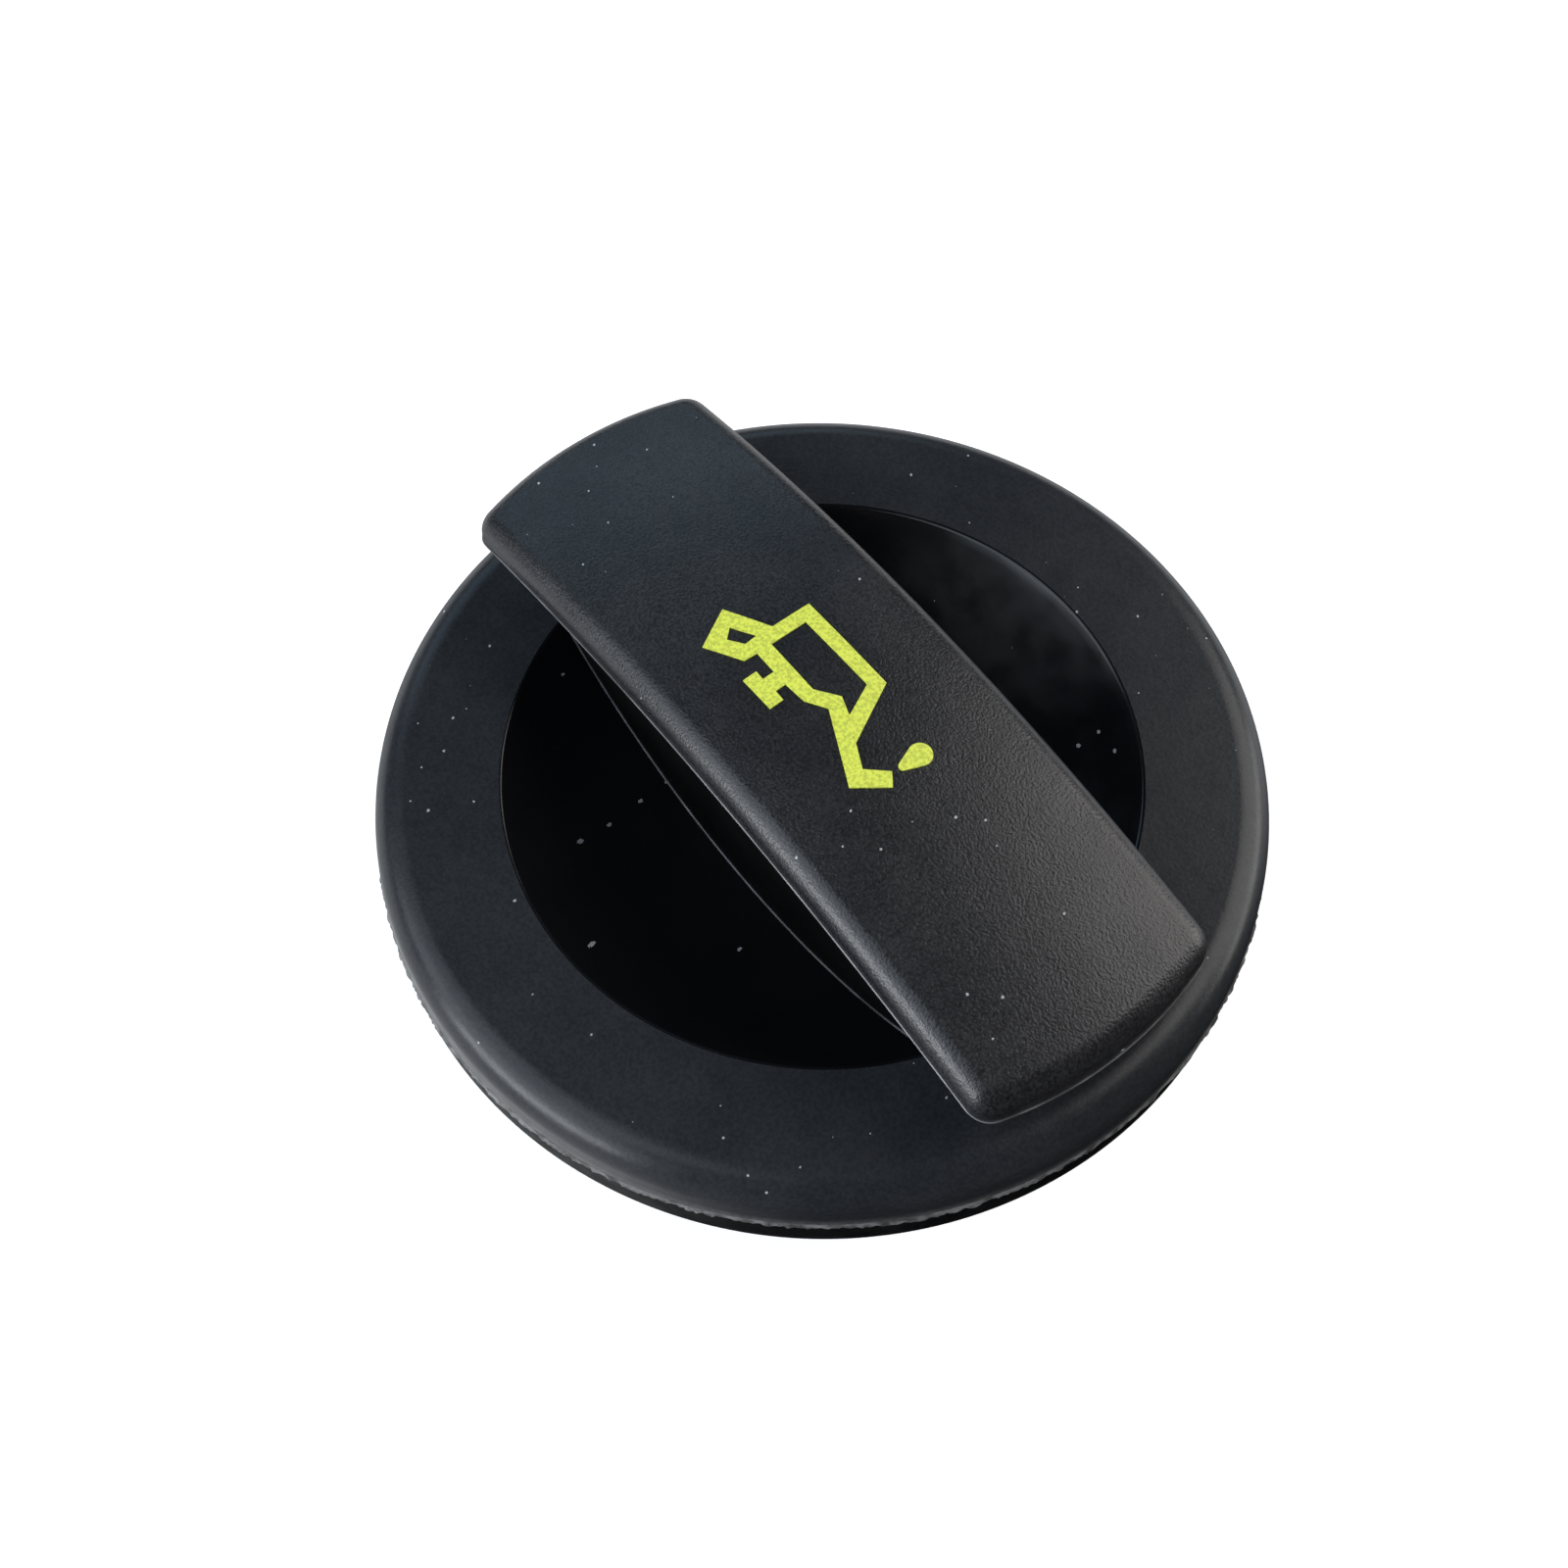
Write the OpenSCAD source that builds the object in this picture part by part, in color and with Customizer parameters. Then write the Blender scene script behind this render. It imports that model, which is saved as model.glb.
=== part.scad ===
// Oil filler cap. A round upper moulding with a dish and a bar handle is joined at its rim to a lower
// moulding with a bayonet plug, and a rubber ring round the plug seals on the filler neck.
// The origin is on the cap's axis at the plug's lower end, +Z is up and the handle lies along X.

/* [Cap] */
// Outer diameter of the cap below its shoulder
cap_d = 76; // [74:0.5:90]
// Radius of the shoulder between the flat ring and the rim
shoulder_r = 3; // [2.4:0.1:3.6]
// Wall thickness of both mouldings
wall = 2.2; // [1.6:0.1:2.4]
// Height of the upper moulding's rim, from the flat ring to the joint
upper_rim_h = 5.2; // [4.6:0.1:6]
// Outward lean of the upper moulding's rim at the joint
rim_lean = 0.15; // [0:0.05:0.4]
// Height of the lower moulding's rim, from the joint down
lower_rim_h = 4.2; // [3.8:0.1:6]
// Step in from the upper rim to the lower rim at the joint
rim_step = 0.1; // [0:0.05:0.4]
// Rounding of the lower rim's outer edge
rim_edge_r = 0.7; // [0.3:0.1:1]
// How far the flash stands out of the joint
flash_proud = 0.2; // [0.1:0.05:0.5]
// Height of the flash on the upper rim
flash_h = 0.5; // [0.3:0.1:1]

/* [Dish] */
// Diameter of the dish where it meets the flat ring
dish_d = 54; // [50:0.5:58]
// Depth of the dish below the flat ring
dish_depth = 10.6; // [8:0.2:11]
// Rounding of the dish's edge
dish_edge_r = 1; // [0.4:0.1:2]

/* [Handle] */
// Length of the bar from tip to tip
bar_l = 71.2; // [69:0.2:74]
// Width of the bar
bar_w = 23.4; // [22:0.2:28]
// Height of the bar's crown above the flat ring
bar_crown_h = 12.9; // [11:0.1:16]
// How much lower the bar's tips are than its crown
bar_drop = 4.4; // [2:0.1:5]
// Thickness of the bar's lip
lip_h = 3.5; // [2.8:0.1:4.5]
// Rounding of the bar's top edge
bar_edge_r = 1.8; // [0.8:0.1:2]
// Radius of the bar's corners, seen from above
bar_corner_r = 2.2; // [2.1:0.1:4]
// Width of the web under the bar
web_w = 18; // [14:0.2:19]
// Length of the web under the bar
web_l = 67.2; // [64:0.2:68]
// Radius of the web's corners, seen from above
web_corner_r = 3; // [2.6:0.1:4]

/* [Plug] */
// Outer diameter of the plug
plug_d = 42; // [40:0.5:44]
// Wall thickness of the plug
plug_wall = 2.5; // [2:0.1:3]
// Length of the plug below the rim
plug_l = 15; // [14:0.5:22]
// Chamfer on the plug's nose
nose_chamfer = 1; // [0.4:0.1:1.5]
// How far the flange plate lies above the rim's lower edge
plate_recess = 0.2; // [0:0.1:0.6]
// Height of the spigot that centres the lower moulding in the upper one
spigot_h = 1.8; // [1:0.1:2]
// Thickness of the spigot
spigot_t = 1.4; // [1:0.1:2]
// Length of the collar under the dish that centres the plug
collar_l = 3; // [1.5:0.1:4]
// Thickness of the collar
collar_t = 1.6; // [1.2:0.1:2]
// Gap between parts that centre on each other
fit_gap = 0.2; // [0.1:0.05:0.3]

/* [Bayonet] */
// How far each lug stands out of the plug
lug_reach = 4.5; // [3:0.1:6]
// Height of each lug
lug_h = 3.5; // [2.5:0.1:4]
// Arc that each lug covers, in degrees
lug_arc = 54; // [40:1:70]
// Fall of the lead-in at the lug's leading end
lead_fall = 1.2; // [0.6:0.1:1.6]
// Length of the lead-in
lead_l = 7; // [5:0.5:9]
// Height of the stop above the lug
stop_h = 1.8; // [1:0.1:2.2]
// Width of the stop
stop_w = 2.2; // [1.5:0.1:3]
// How far the stop stands in from the lug's end
stop_inset = 0.3; // [0.2:0.1:1]
// Thickness of the filler neck's lip that the lugs hook under
neck_lip_t = 3; // [2.5:0.1:3.4]

/* [Sealing ring] */
// Outer diameter of the sealing ring
seal_d = 54; // [50:0.5:60]
// Height of the sealing ring
seal_h = 3.8; // [3:0.1:4.5]
// Rounding of the ring's edges
seal_edge_r = 1.1; // [0.5:0.1:1.4]
// Depth of the seat that the plug gives the ring
seal_seat = 0.4; // [0.2:0.1:0.6]
// How far the ring is squeezed when the cap is shut
seal_squeeze = 0.6; // [0.3:0.1:1]

/* [Print] */
// Thickness of the printed ink
ink_t = 0.12; // [0.1:0.01:0.3]
// Scale of the oil can
can_scale = 1; // [0.8:0.05:1.05]
// Radius of the drop's round end
drop_r = 1; // [0.7:0.1:1.2]
// Length of the drop from its round end's centre to its tip
drop_l = 2.1; // [1.8:0.1:2.6]

/* [Hidden] */

$fa = 3;
$fs = 0.4;
// Facets of circles as large as the bar's arch
fine = 360;
// Small overrun that carries a cut through a face
over = 1;
// Offset that keeps blended faces from lying in each other
hair = 0.01;

cap_r = cap_d / 2;
plug_r = plug_d / 2;
plug_bore_r = plug_r - plug_wall;

// Heights of the flat ring, of the joint and of the rim's lower edge
rim_low_z = plug_l;
joint_z = rim_low_z + lower_rim_h;
deck_z = joint_z + upper_rim_h;
plate_low_z = rim_low_z + plate_recess;
plate_top_z = plate_low_z + wall;

// The dish is part of a sphere
dish_r = (pow(dish_d / 2, 2) + pow(dish_depth, 2)) / (2 * dish_depth);
dish_centre_z = deck_z - dish_depth + dish_r;

// The bar's top is part of a cylinder that lies along Y
bar_reach = bar_l / 2;
arch_r = (pow(bar_reach, 2) + pow(bar_drop, 2)) / (2 * bar_drop);
arch_centre_z = deck_z + bar_crown_h - arch_r;
// Angle on the arch at which the rounded tip's wall comes out upright at the bar's reach
tip_angle = asin((bar_reach - bar_edge_r) / norm([arch_r - bar_edge_r, bar_edge_r]))
    + atan2(bar_edge_r, arch_r - bar_edge_r);
// Radius of the tip's arc in the plane that touches the arch at the tip
tip_r = bar_reach * cos(tip_angle);
// Where the rounding of the tip's top edge turns upright, below the arch
round_low = -bar_edge_r * (1 - sin(tip_angle));
// How far the roundings of the top edge reach past the upright walls, so that they end in them
round_past = bar_edge_r * (1 - cos(tip_angle)) + hair;

collar_r = plug_bore_r - fit_gap;
spigot_r = cap_r - wall - fit_gap;
seat_r = plug_r - seal_seat;
seal_low_z = plate_low_z - seal_h;
lug_r = plug_r + lug_reach;
lug_top_z = seal_low_z + seal_squeeze - neck_lip_t;

// The oil can in its own plane, upright, with its spout to the right
can_outline = [
    [-10.8, 2], [-8.9, 5.4], [-5.7, 3.6], [-5.6, 2.4], [-3.4, 2.4], [-3.4, 3.5], [-4.3, 3.5], [-4.3, 4.8],
    [-0.9, 4.7], [-0.9, 3.4], [-1.9, 3.4], [-1.9, 2.4], [0.2, 2.2], [1.9, 1.1], [8.3, 4.1], [10.3, 1.4],
    [9.2, 0.6], [7.7, 2.3], [5.6, 1.3], [2.8, -4], [-6.9, -3.8], [-6.9, -0.1]
];
can_window = [[-5.6, -2.5], [2, -2.7], [3.4, 0.2], [1.7, -0.4], [-0.2, 1], [-5.6, 1]];
can_loop = [[-9, 2.6], [-7, 1.4], [-6.9, 2.6], [-8.2, 3.5]];
drop_centre = [9.4, -2.1];

// Height of a sphere's lower side at radius x, round the dish's centre
function bowl_z(sphere_r, x) = dish_centre_z - sqrt(pow(sphere_r, 2) - pow(x, 2));

// Centre of a bar's round corner along X, for tips on a circle of radius reach
function corner_x(reach, width, corner_r) = sqrt(pow(reach - corner_r, 2) - pow(width / 2 - corner_r, 2));

// A point well outside the bar, on the ray from [centre_x, 0] through a corner's centre
function beyond(corner, centre_x) = 1.3 * (corner - [centre_x, 0]) + [centre_x, 0];

// A rectangle given by two opposite corners
module box2(low, high) {
    translate(low) square(high - low);
}

// The half plane right of the axis, which keeps a section on one side of it
module half_plane() {
    box2([0, -4 * cap_r], [4 * cap_r, 4 * cap_r]);
}

// A block's section with round top corners: from x 0 to width, top at y 0
module round_top(width, depth, edge_r) {
    box2([0, -depth], [width, -edge_r]);
    box2([0, -depth], [width - edge_r, 0]);
    translate([width - edge_r, -edge_r]) circle(edge_r);
}

// Plan of the web and of its hollow: parallel sides, ends on a circle round the cap's axis, round corners
module web_plan(reach, width, corner_r) {
    corner = [corner_x(reach, width, corner_r), width / 2 - corner_r];
    difference() {
        intersection() {
            circle(reach);
            square([2 * reach + over, width], center = true);
        }
        both_ways([1, 0])
            both_ways([0, 1])
                difference() {
                    corner_wedge(corner, beyond(corner, 0));
                    translate(corner) circle(corner_r);
                }
    }
}

// A bar across the cap, round about the arch's axis, up to radius r
module under_arch(r) {
    translate([0, 0, arch_centre_z])
        rotate([90, 0, 0]) cylinder(r = r, h = 2 * cap_r, center = true, $fn = fine);
}

// Half the section of the space in the dish, with its rounded edge
module dish_space_section() {
    edge_x = sqrt(pow(dish_r + dish_edge_r, 2) - pow(dish_centre_z - deck_z + dish_edge_r, 2));
    edge_z = deck_z - dish_edge_r;
    touch = dish_r / (dish_r + dish_edge_r);
    touch_x = edge_x * touch;
    touch_z = dish_centre_z - (dish_centre_z - edge_z) * touch;
    translate([0, dish_centre_z]) circle(dish_r, $fn = fine);
    difference() {
        polygon([
            [edge_x, edge_z], [edge_x, deck_z + over],
            [touch_x - over, deck_z + over], [touch_x, touch_z]
        ]);
        translate([edge_x, edge_z]) circle(dish_edge_r + hair);
    }
}

// Half the section of the upper moulding without its handle
module upper_section() {
    inner_r = cap_r - wall;
    inner_round = shoulder_r - wall;
    flash_r = cap_r + rim_lean + flash_proud;
    intersection() {
        half_plane();
        difference() {
            union() {
                difference() {
                    union() {
                        intersection() {
                            translate([0, deck_z]) round_top(cap_r, upper_rim_h, shoulder_r);
                            box2([0, joint_z], [cap_r + over, deck_z + over]);
                        }
                        polygon([
                            [inner_r, joint_z], [cap_r + rim_lean, joint_z],
                            [cap_r, deck_z - shoulder_r], [inner_r, deck_z - shoulder_r]
                        ]);
                        polygon([
                            [inner_r, joint_z], [flash_r, joint_z], [flash_r, joint_z + flash_h / 2],
                            [flash_r - 2 * flash_proud, joint_z + flash_h * 3 / 2]
                        ]);
                    }
                    translate([0, deck_z - wall]) round_top(inner_r, upper_rim_h, inner_round);
                }
                intersection() {
                    translate([0, dish_centre_z]) circle(dish_r + wall, $fn = fine);
                    box2([-over, 0], [cap_r, deck_z - wall / 2]);
                }
                box2([collar_r - collar_t, bowl_z(dish_r + wall, collar_r) - collar_l],
                    [collar_r, bowl_z(dish_r + wall / 2, collar_r)]);
            }
            dish_space_section();
        }
    }
}

// Section of the bar across its length, with the top face at x 0
module bar_section() {
    half_w = bar_w / 2;
    box2([-lip_h, -half_w], [-bar_edge_r, half_w]);
    box2([-lip_h, bar_edge_r - half_w], [0, half_w - bar_edge_r]);
    for (side = [-1, 1])
        translate([-bar_edge_r, side * (half_w - bar_edge_r)]) circle(bar_edge_r);
}

// Moves children to the tip of the bar, with Z square to the arch and X outward
module at_tip() {
    translate([0, 0, arch_centre_z]) rotate([0, tip_angle, 0]) translate([0, 0, arch_r]) children();
}

// Children, and their mirror image across the plane square to an axis
module both_ways(axis) {
    children();
    mirror(axis) children();
}

// What the rounding of the tip's top edge takes off the bar. It reaches a little into the corners' cuts.
module tip_cut() {
    corner = [corner_x(tip_r, bar_w, bar_corner_r) - tip_r, bar_w / 2 - bar_corner_r];
    outside = beyond(corner, -tip_r) + [0, over];
    at_tip()
        difference() {
            translate([0, 0, round_low])
                linear_extrude(over - round_low)
                    polygon([[corner.x, -corner.y], [outside.x, -outside.y], outside, corner]);
            translate([-tip_r, 0, 0])
                rotate_extrude($fn = fine) round_top(tip_r + round_past + hair, lip_h, bar_edge_r);
        }
}

// What one corner's upright rounding and the rounding of its top edge take off the bar
module corner_cut() {
    corner_y = bar_w / 2 - bar_corner_r;
    corner = [corner_x(bar_reach, bar_w, bar_corner_r), corner_y];
    tipped_corner = [corner_x(tip_r, bar_w, bar_corner_r) - tip_r, corner_y];
    linear_extrude(deck_z + bar_crown_h + over)
        difference() {
            corner_wedge(corner, beyond(corner, 0));
            translate(corner) circle(bar_corner_r - hair);
        }
    at_tip()
        difference() {
            translate([0, 0, round_low])
                linear_extrude(over - round_low) corner_wedge(tipped_corner, beyond(tipped_corner, -tip_r));
            translate([tipped_corner.x, corner_y, 0])
                rotate_extrude()
                    intersection() {
                        half_plane();
                        round_top(bar_corner_r + round_past, lip_h, bar_edge_r);
                    }
        }
}

// The region outside a corner's centre, between the bar's side and the ray from the tip arc's centre
module corner_wedge(corner, outside) {
    side_y = bar_w / 2 + over;
    polygon([corner, [corner.x, side_y], [outside.x, side_y], outside]);
}

// The bar: a rounded strip swept along the arch, with its tips on a circle round the cap's axis
module bar() {
    sweep = tip_angle + 1;
    difference() {
        intersection() {
            translate([0, 0, arch_centre_z])
                rotate([90, 0, 0])
                    rotate([0, 0, 90 - sweep])
                        rotate_extrude(angle = 2 * sweep, $fn = fine) translate([arch_r, 0]) bar_section();
            cylinder(r = bar_reach, h = deck_z + bar_crown_h + over);
        }
        both_ways([1, 0, 0]) {
            tip_cut();
            both_ways([0, 1, 0]) corner_cut();
        }
    }
}

// The web that carries the bar, from inside the dish's wall to inside the bar
module web() {
    intersection() {
        linear_extrude(deck_z + bar_crown_h) web_plan(web_l / 2, web_w, web_corner_r);
        under_arch(arch_r - lip_h / 2);
        union() {
            translate([0, 0, dish_centre_z]) sphere(dish_r + wall / 2, $fn = fine);
            translate([0, 0, deck_z - wall / 2]) cylinder(r = cap_r, h = bar_crown_h);
        }
    }
}

// The hollow that keeps the handle's walls even, open downward
module handle_core() {
    intersection() {
        linear_extrude(deck_z + bar_crown_h)
            web_plan(web_l / 2 - wall, web_w - 2 * wall, max(web_corner_r - wall, 0.4));
        under_arch(arch_r - wall);
    }
}

module grip_cap() {
    color([0.13, 0.13, 0.14])
        difference() {
            union() {
                rotate_extrude() upper_section();
                web();
                bar();
            }
            handle_core();
        }
}

// Half the section of the lower moulding without its lugs
module lower_section() {
    rim_r = cap_r + rim_lean - rim_step;
    inner_r = cap_r - wall;
    difference() {
        union() {
            box2([inner_r, rim_low_z + rim_edge_r], [rim_r, joint_z]);
            box2([inner_r, rim_low_z], [rim_r - rim_edge_r, joint_z]);
            translate([rim_r - rim_edge_r, rim_low_z + rim_edge_r]) circle(rim_edge_r);
            box2([plug_bore_r, plate_low_z], [inner_r + over, plate_top_z]);
            box2([spigot_r - spigot_t, plate_low_z], [spigot_r, joint_z + spigot_h]);
            polygon([
                [plug_bore_r, 0], [plug_r - nose_chamfer, 0], [plug_r, nose_chamfer],
                [plug_r, seal_low_z], [seat_r, seal_low_z], [seat_r, plate_top_z], [plug_bore_r, plate_top_z]
            ]);
        }
        translate([0, dish_centre_z]) circle(dish_r + wall + fit_gap, $fn = fine);
    }
}

// One bayonet lug, centred on +X, with its lead-in and its stop
module lug() {
    inside = plug_r - plug_wall / 2;
    difference() {
        rotate([0, 0, -lug_arc / 2])
            rotate_extrude(angle = lug_arc)
                box2([inside, lug_top_z - lug_h], [lug_r, lug_top_z]);
        rotate([0, 0, -lug_arc / 2])
            translate([0, lead_l, lug_top_z])
                rotate([atan2(lead_fall, lead_l), 0, 0])
                    translate([0, -2 * lead_l, 0]) cube([2 * lug_r, 2 * lead_l, lug_h]);
    }
    rotate([0, 0, lug_arc / 2])
        translate([inside, -stop_w - stop_inset, lug_top_z - lug_h])
            cube([lug_r - inside - nose_chamfer, stop_w, lug_h + stop_h]);
}

module bayonet_plug() {
    color([0.11, 0.11, 0.12]) {
        rotate_extrude() lower_section();
        for (turn = [0, 180])
            rotate([0, 0, turn]) lug();
    }
}

module sealing_ring() {
    bore_r = seat_r + fit_gap / 2;
    seal_r = seal_d / 2;
    color([0.05, 0.05, 0.05])
        rotate_extrude() {
            box2([bore_r, seal_low_z + seal_edge_r], [seal_r, plate_low_z - seal_edge_r]);
            box2([bore_r, seal_low_z], [seal_r - seal_edge_r, plate_low_z]);
            for (edge_z = [seal_low_z + seal_edge_r, plate_low_z - seal_edge_r])
                translate([seal_r - seal_edge_r, edge_z]) circle(seal_edge_r);
        }
}

// The printed figure in its own plane: the oil can and the drop that falls from its spout
module can_figure() {
    difference() {
        polygon(can_outline);
        polygon(can_window);
        polygon(can_loop);
    }
    half_angle = acos(drop_r / drop_l);
    side = drop_r * [sin(half_angle), cos(half_angle)];
    translate(drop_centre) {
        circle(drop_r, $fn = 48);
        polygon([[0, 0], [side.x, side.y], [0, drop_l], [-side.x, side.y]]);
    }
}

module oil_can_print() {
    color([0.84, 0.87, 0.24])
        intersection() {
            translate([0, 0, deck_z])
                linear_extrude(bar_crown_h + over)
                    mirror([0, 1]) scale(can_scale) can_figure();
            difference() {
                under_arch(arch_r + ink_t);
                under_arch(arch_r);
            }
        }
}

grip_cap();
bayonet_plug();
sealing_ring();
oil_can_print();
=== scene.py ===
"""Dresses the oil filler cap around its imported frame: mouldings, ring, print, floor, lamps and camera."""

import logging
import math
from dataclasses import dataclass
from enum import Enum
from typing import Callable, NamedTuple, Sequence

import bmesh
import bpy
from mathutils import Matrix, Vector, noise


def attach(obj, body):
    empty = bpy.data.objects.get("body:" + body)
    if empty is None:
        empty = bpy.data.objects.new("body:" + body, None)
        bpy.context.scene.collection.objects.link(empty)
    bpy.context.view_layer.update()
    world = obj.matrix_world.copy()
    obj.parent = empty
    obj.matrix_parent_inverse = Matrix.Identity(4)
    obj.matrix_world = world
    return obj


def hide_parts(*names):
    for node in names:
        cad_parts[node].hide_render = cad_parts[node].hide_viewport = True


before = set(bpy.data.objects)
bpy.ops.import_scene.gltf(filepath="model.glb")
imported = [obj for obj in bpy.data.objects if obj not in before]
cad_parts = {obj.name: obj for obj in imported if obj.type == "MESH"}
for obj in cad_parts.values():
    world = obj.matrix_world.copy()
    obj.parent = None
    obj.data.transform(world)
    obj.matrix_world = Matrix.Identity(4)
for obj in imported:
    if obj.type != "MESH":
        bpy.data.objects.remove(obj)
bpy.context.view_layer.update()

log = logging.getLogger("oil_filler_cap")

Colour = tuple[float, float, float]
Point = tuple[float, float]
# Gives the point in space for a point of a path
Placing = Callable[[float, float], Sequence[float]]

# Metres in a millimetre: shapes are drawn in millimetres and turned into metres as the last step
MM = 0.001
# Steps of a full turn round the cap's axis
TURN_STEPS = 288
# Points closer than this are one point, in millimetres
WELD = 0.0005
# Overrun that carries a cutting shape past the face that it cuts, in millimetres
PAST = 1.0
# Edges that bend more than this stay sharp, in degrees
SHARP_ANGLE = 34.0
# Directions: X runs along the handle, Y across it
X_AXIS = Vector((1, 0, 0))
Y_AXIS = Vector((0, 1, 0))
Z_AXIS = Vector((0, 0, 1))
# A face whose normal rises or falls more than this is an upper or a lower one
FLAT_NORMAL = 0.5
# Range that holds most of the values of a noise, and narrower ones that turn it into clouds
NOISE_RANGE = (0.3, 0.7)
CLOUD_RANGE = (0.35, 0.65)
DRIFT_RANGE = (0.4, 0.6)


def grey(level: float) -> Colour:
    """Returns the grey of a level."""
    return (level, level, level)


class Operation(Enum):
    """How one closed shape acts on another."""

    JOIN = "UNION"
    CUT = "DIFFERENCE"
    COMMON = "INTERSECT"


class Zone(Enum):
    """The differently finished areas of the upper moulding, by material index."""

    BAR = 0
    WEB = 1
    DISH = 2
    DECK = 3
    INSIDE = 4


@dataclass(frozen=True)
class CapSizes:
    """Sizes of the whole cap in millimetres, as in the part's source. Heights count from the plug's end."""

    cap_r: float = 38.0
    shoulder_r: float = 3.0
    wall: float = 2.2
    upper_rim_h: float = 5.2
    rim_lean: float = 0.15
    lower_rim_h: float = 4.2
    dish_rim_r: float = 27.0
    dish_depth: float = 10.6
    bar_reach: float = 35.6
    bar_crown_h: float = 12.9
    bar_drop: float = 4.4
    bar_half_w: float = 11.7
    bar_camber: float = 0.8
    web_half_w: float = 9.0
    lip_h: float = 3.5
    plug_r: float = 21.0
    plug_wall: float = 2.5
    plug_l: float = 15.0
    plate_recess: float = 0.2
    seal_h: float = 3.8
    fit_gap: float = 0.2

    @property
    def joint_z(self) -> float:
        """Height of the joint between the two mouldings."""
        return self.plug_l + self.lower_rim_h

    @property
    def deck_z(self) -> float:
        """Height of the flat ring round the dish."""
        return self.joint_z + self.upper_rim_h

    @property
    def inner_r(self) -> float:
        """Inner radius of the rim."""
        return self.cap_r - self.wall

    @property
    def plug_bore_r(self) -> float:
        """Radius of the plug's bore."""
        return self.plug_r - self.plug_wall

    @property
    def plate_low_z(self) -> float:
        """Height of the flange plate's underside."""
        return self.plug_l + self.plate_recess

    @property
    def seal_low_z(self) -> float:
        """Height of the sealing ring's lower face."""
        return self.plate_low_z - self.seal_h

    @property
    def dish_r(self) -> float:
        """Radius of the sphere that the dish is a part of."""
        return (self.dish_rim_r**2 + self.dish_depth**2) / (2 * self.dish_depth)

    @property
    def dish_centre_z(self) -> float:
        """Height of that sphere's centre."""
        return self.deck_z - self.dish_depth + self.dish_r

    @property
    def arch_r(self) -> float:
        """Radius of the bar's arch."""
        return (self.bar_reach**2 + self.bar_drop**2) / (2 * self.bar_drop)

    @property
    def arch_centre_z(self) -> float:
        """Height of the arch's axis."""
        return self.deck_z + self.bar_crown_h - self.arch_r

    def bar_top_z(self, x: float, y: float) -> float:
        """Height of the bar's top, which is arched along X and slightly domed across.

        Args:
            x: Place along the bar.
            y: Place across it.

        Returns:
            The height in millimetres.
        """
        arch = self.arch_centre_z + math.sqrt(self.arch_r**2 - x**2)
        return arch - self.bar_camber * (y / self.bar_half_w) ** 2

    def bowl_z(self, sphere_r: float, radius: float) -> float:
        """Height of a sphere's lower side round the dish's centre.

        Args:
            sphere_r: Radius of the sphere.
            radius: Distance from the cap's axis.

        Returns:
            The height in millimetres.
        """
        return self.dish_centre_z - math.sqrt(sphere_r**2 - radius**2)

    def bowl_radius(self, sphere_r: float, height: float) -> float:
        """Distance from the axis at which such a sphere reaches a height.

        Args:
            sphere_r: Radius of the sphere.
            height: Height above the plug's lower end.

        Returns:
            The distance in millimetres.
        """
        return math.sqrt(sphere_r**2 - (self.dish_centre_z - height) ** 2)

    def bowl_angle(self, sphere_r: float, radius: float) -> float:
        """Angle in degrees, as an arc counts it, at which such a sphere has a distance from the axis."""
        return math.degrees(math.asin(radius / sphere_r)) - 90


SIZES = CapSizes()


class Path:
    """A chain of points in a plane, drawn with straight runs and arcs."""

    def __init__(self) -> None:
        """Starts an empty path."""
        self.points: list[Point] = []

    def to(self, x: float, y: float) -> "Path":
        """Adds one point and returns the path."""
        self.points.append((x, y))
        return self

    def arc(self, x: float, y: float, radius: float, start: float, end: float, steps: int) -> "Path":
        """Adds an arc.

        Args:
            x: Centre's first coordinate.
            y: Centre's second coordinate.
            radius: Radius of the arc.
            start: Angle of its first point, in degrees.
            end: Angle of its last point, in degrees.
            steps: Number of its straight steps.

        Returns:
            The path.
        """
        for step in range(steps + 1):
            turn = math.radians(start + (end - start) * step / steps)
            self.points.append((x + radius * math.cos(turn), y + radius * math.sin(turn)))
        return self

    def fine(self, step: float) -> list[Point]:
        """Lists the points of the closed path with no gap longer than a step."""
        listed = []
        for start, end in zip(self.points, self.points[1:] + self.points[:1]):
            count = math.ceil(math.dist(start, end) / step)
            for part in range(count):
                share = part / count
                listed.append(tuple(a + (b - a) * share for a, b in zip(start, end)))
        return listed


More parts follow.
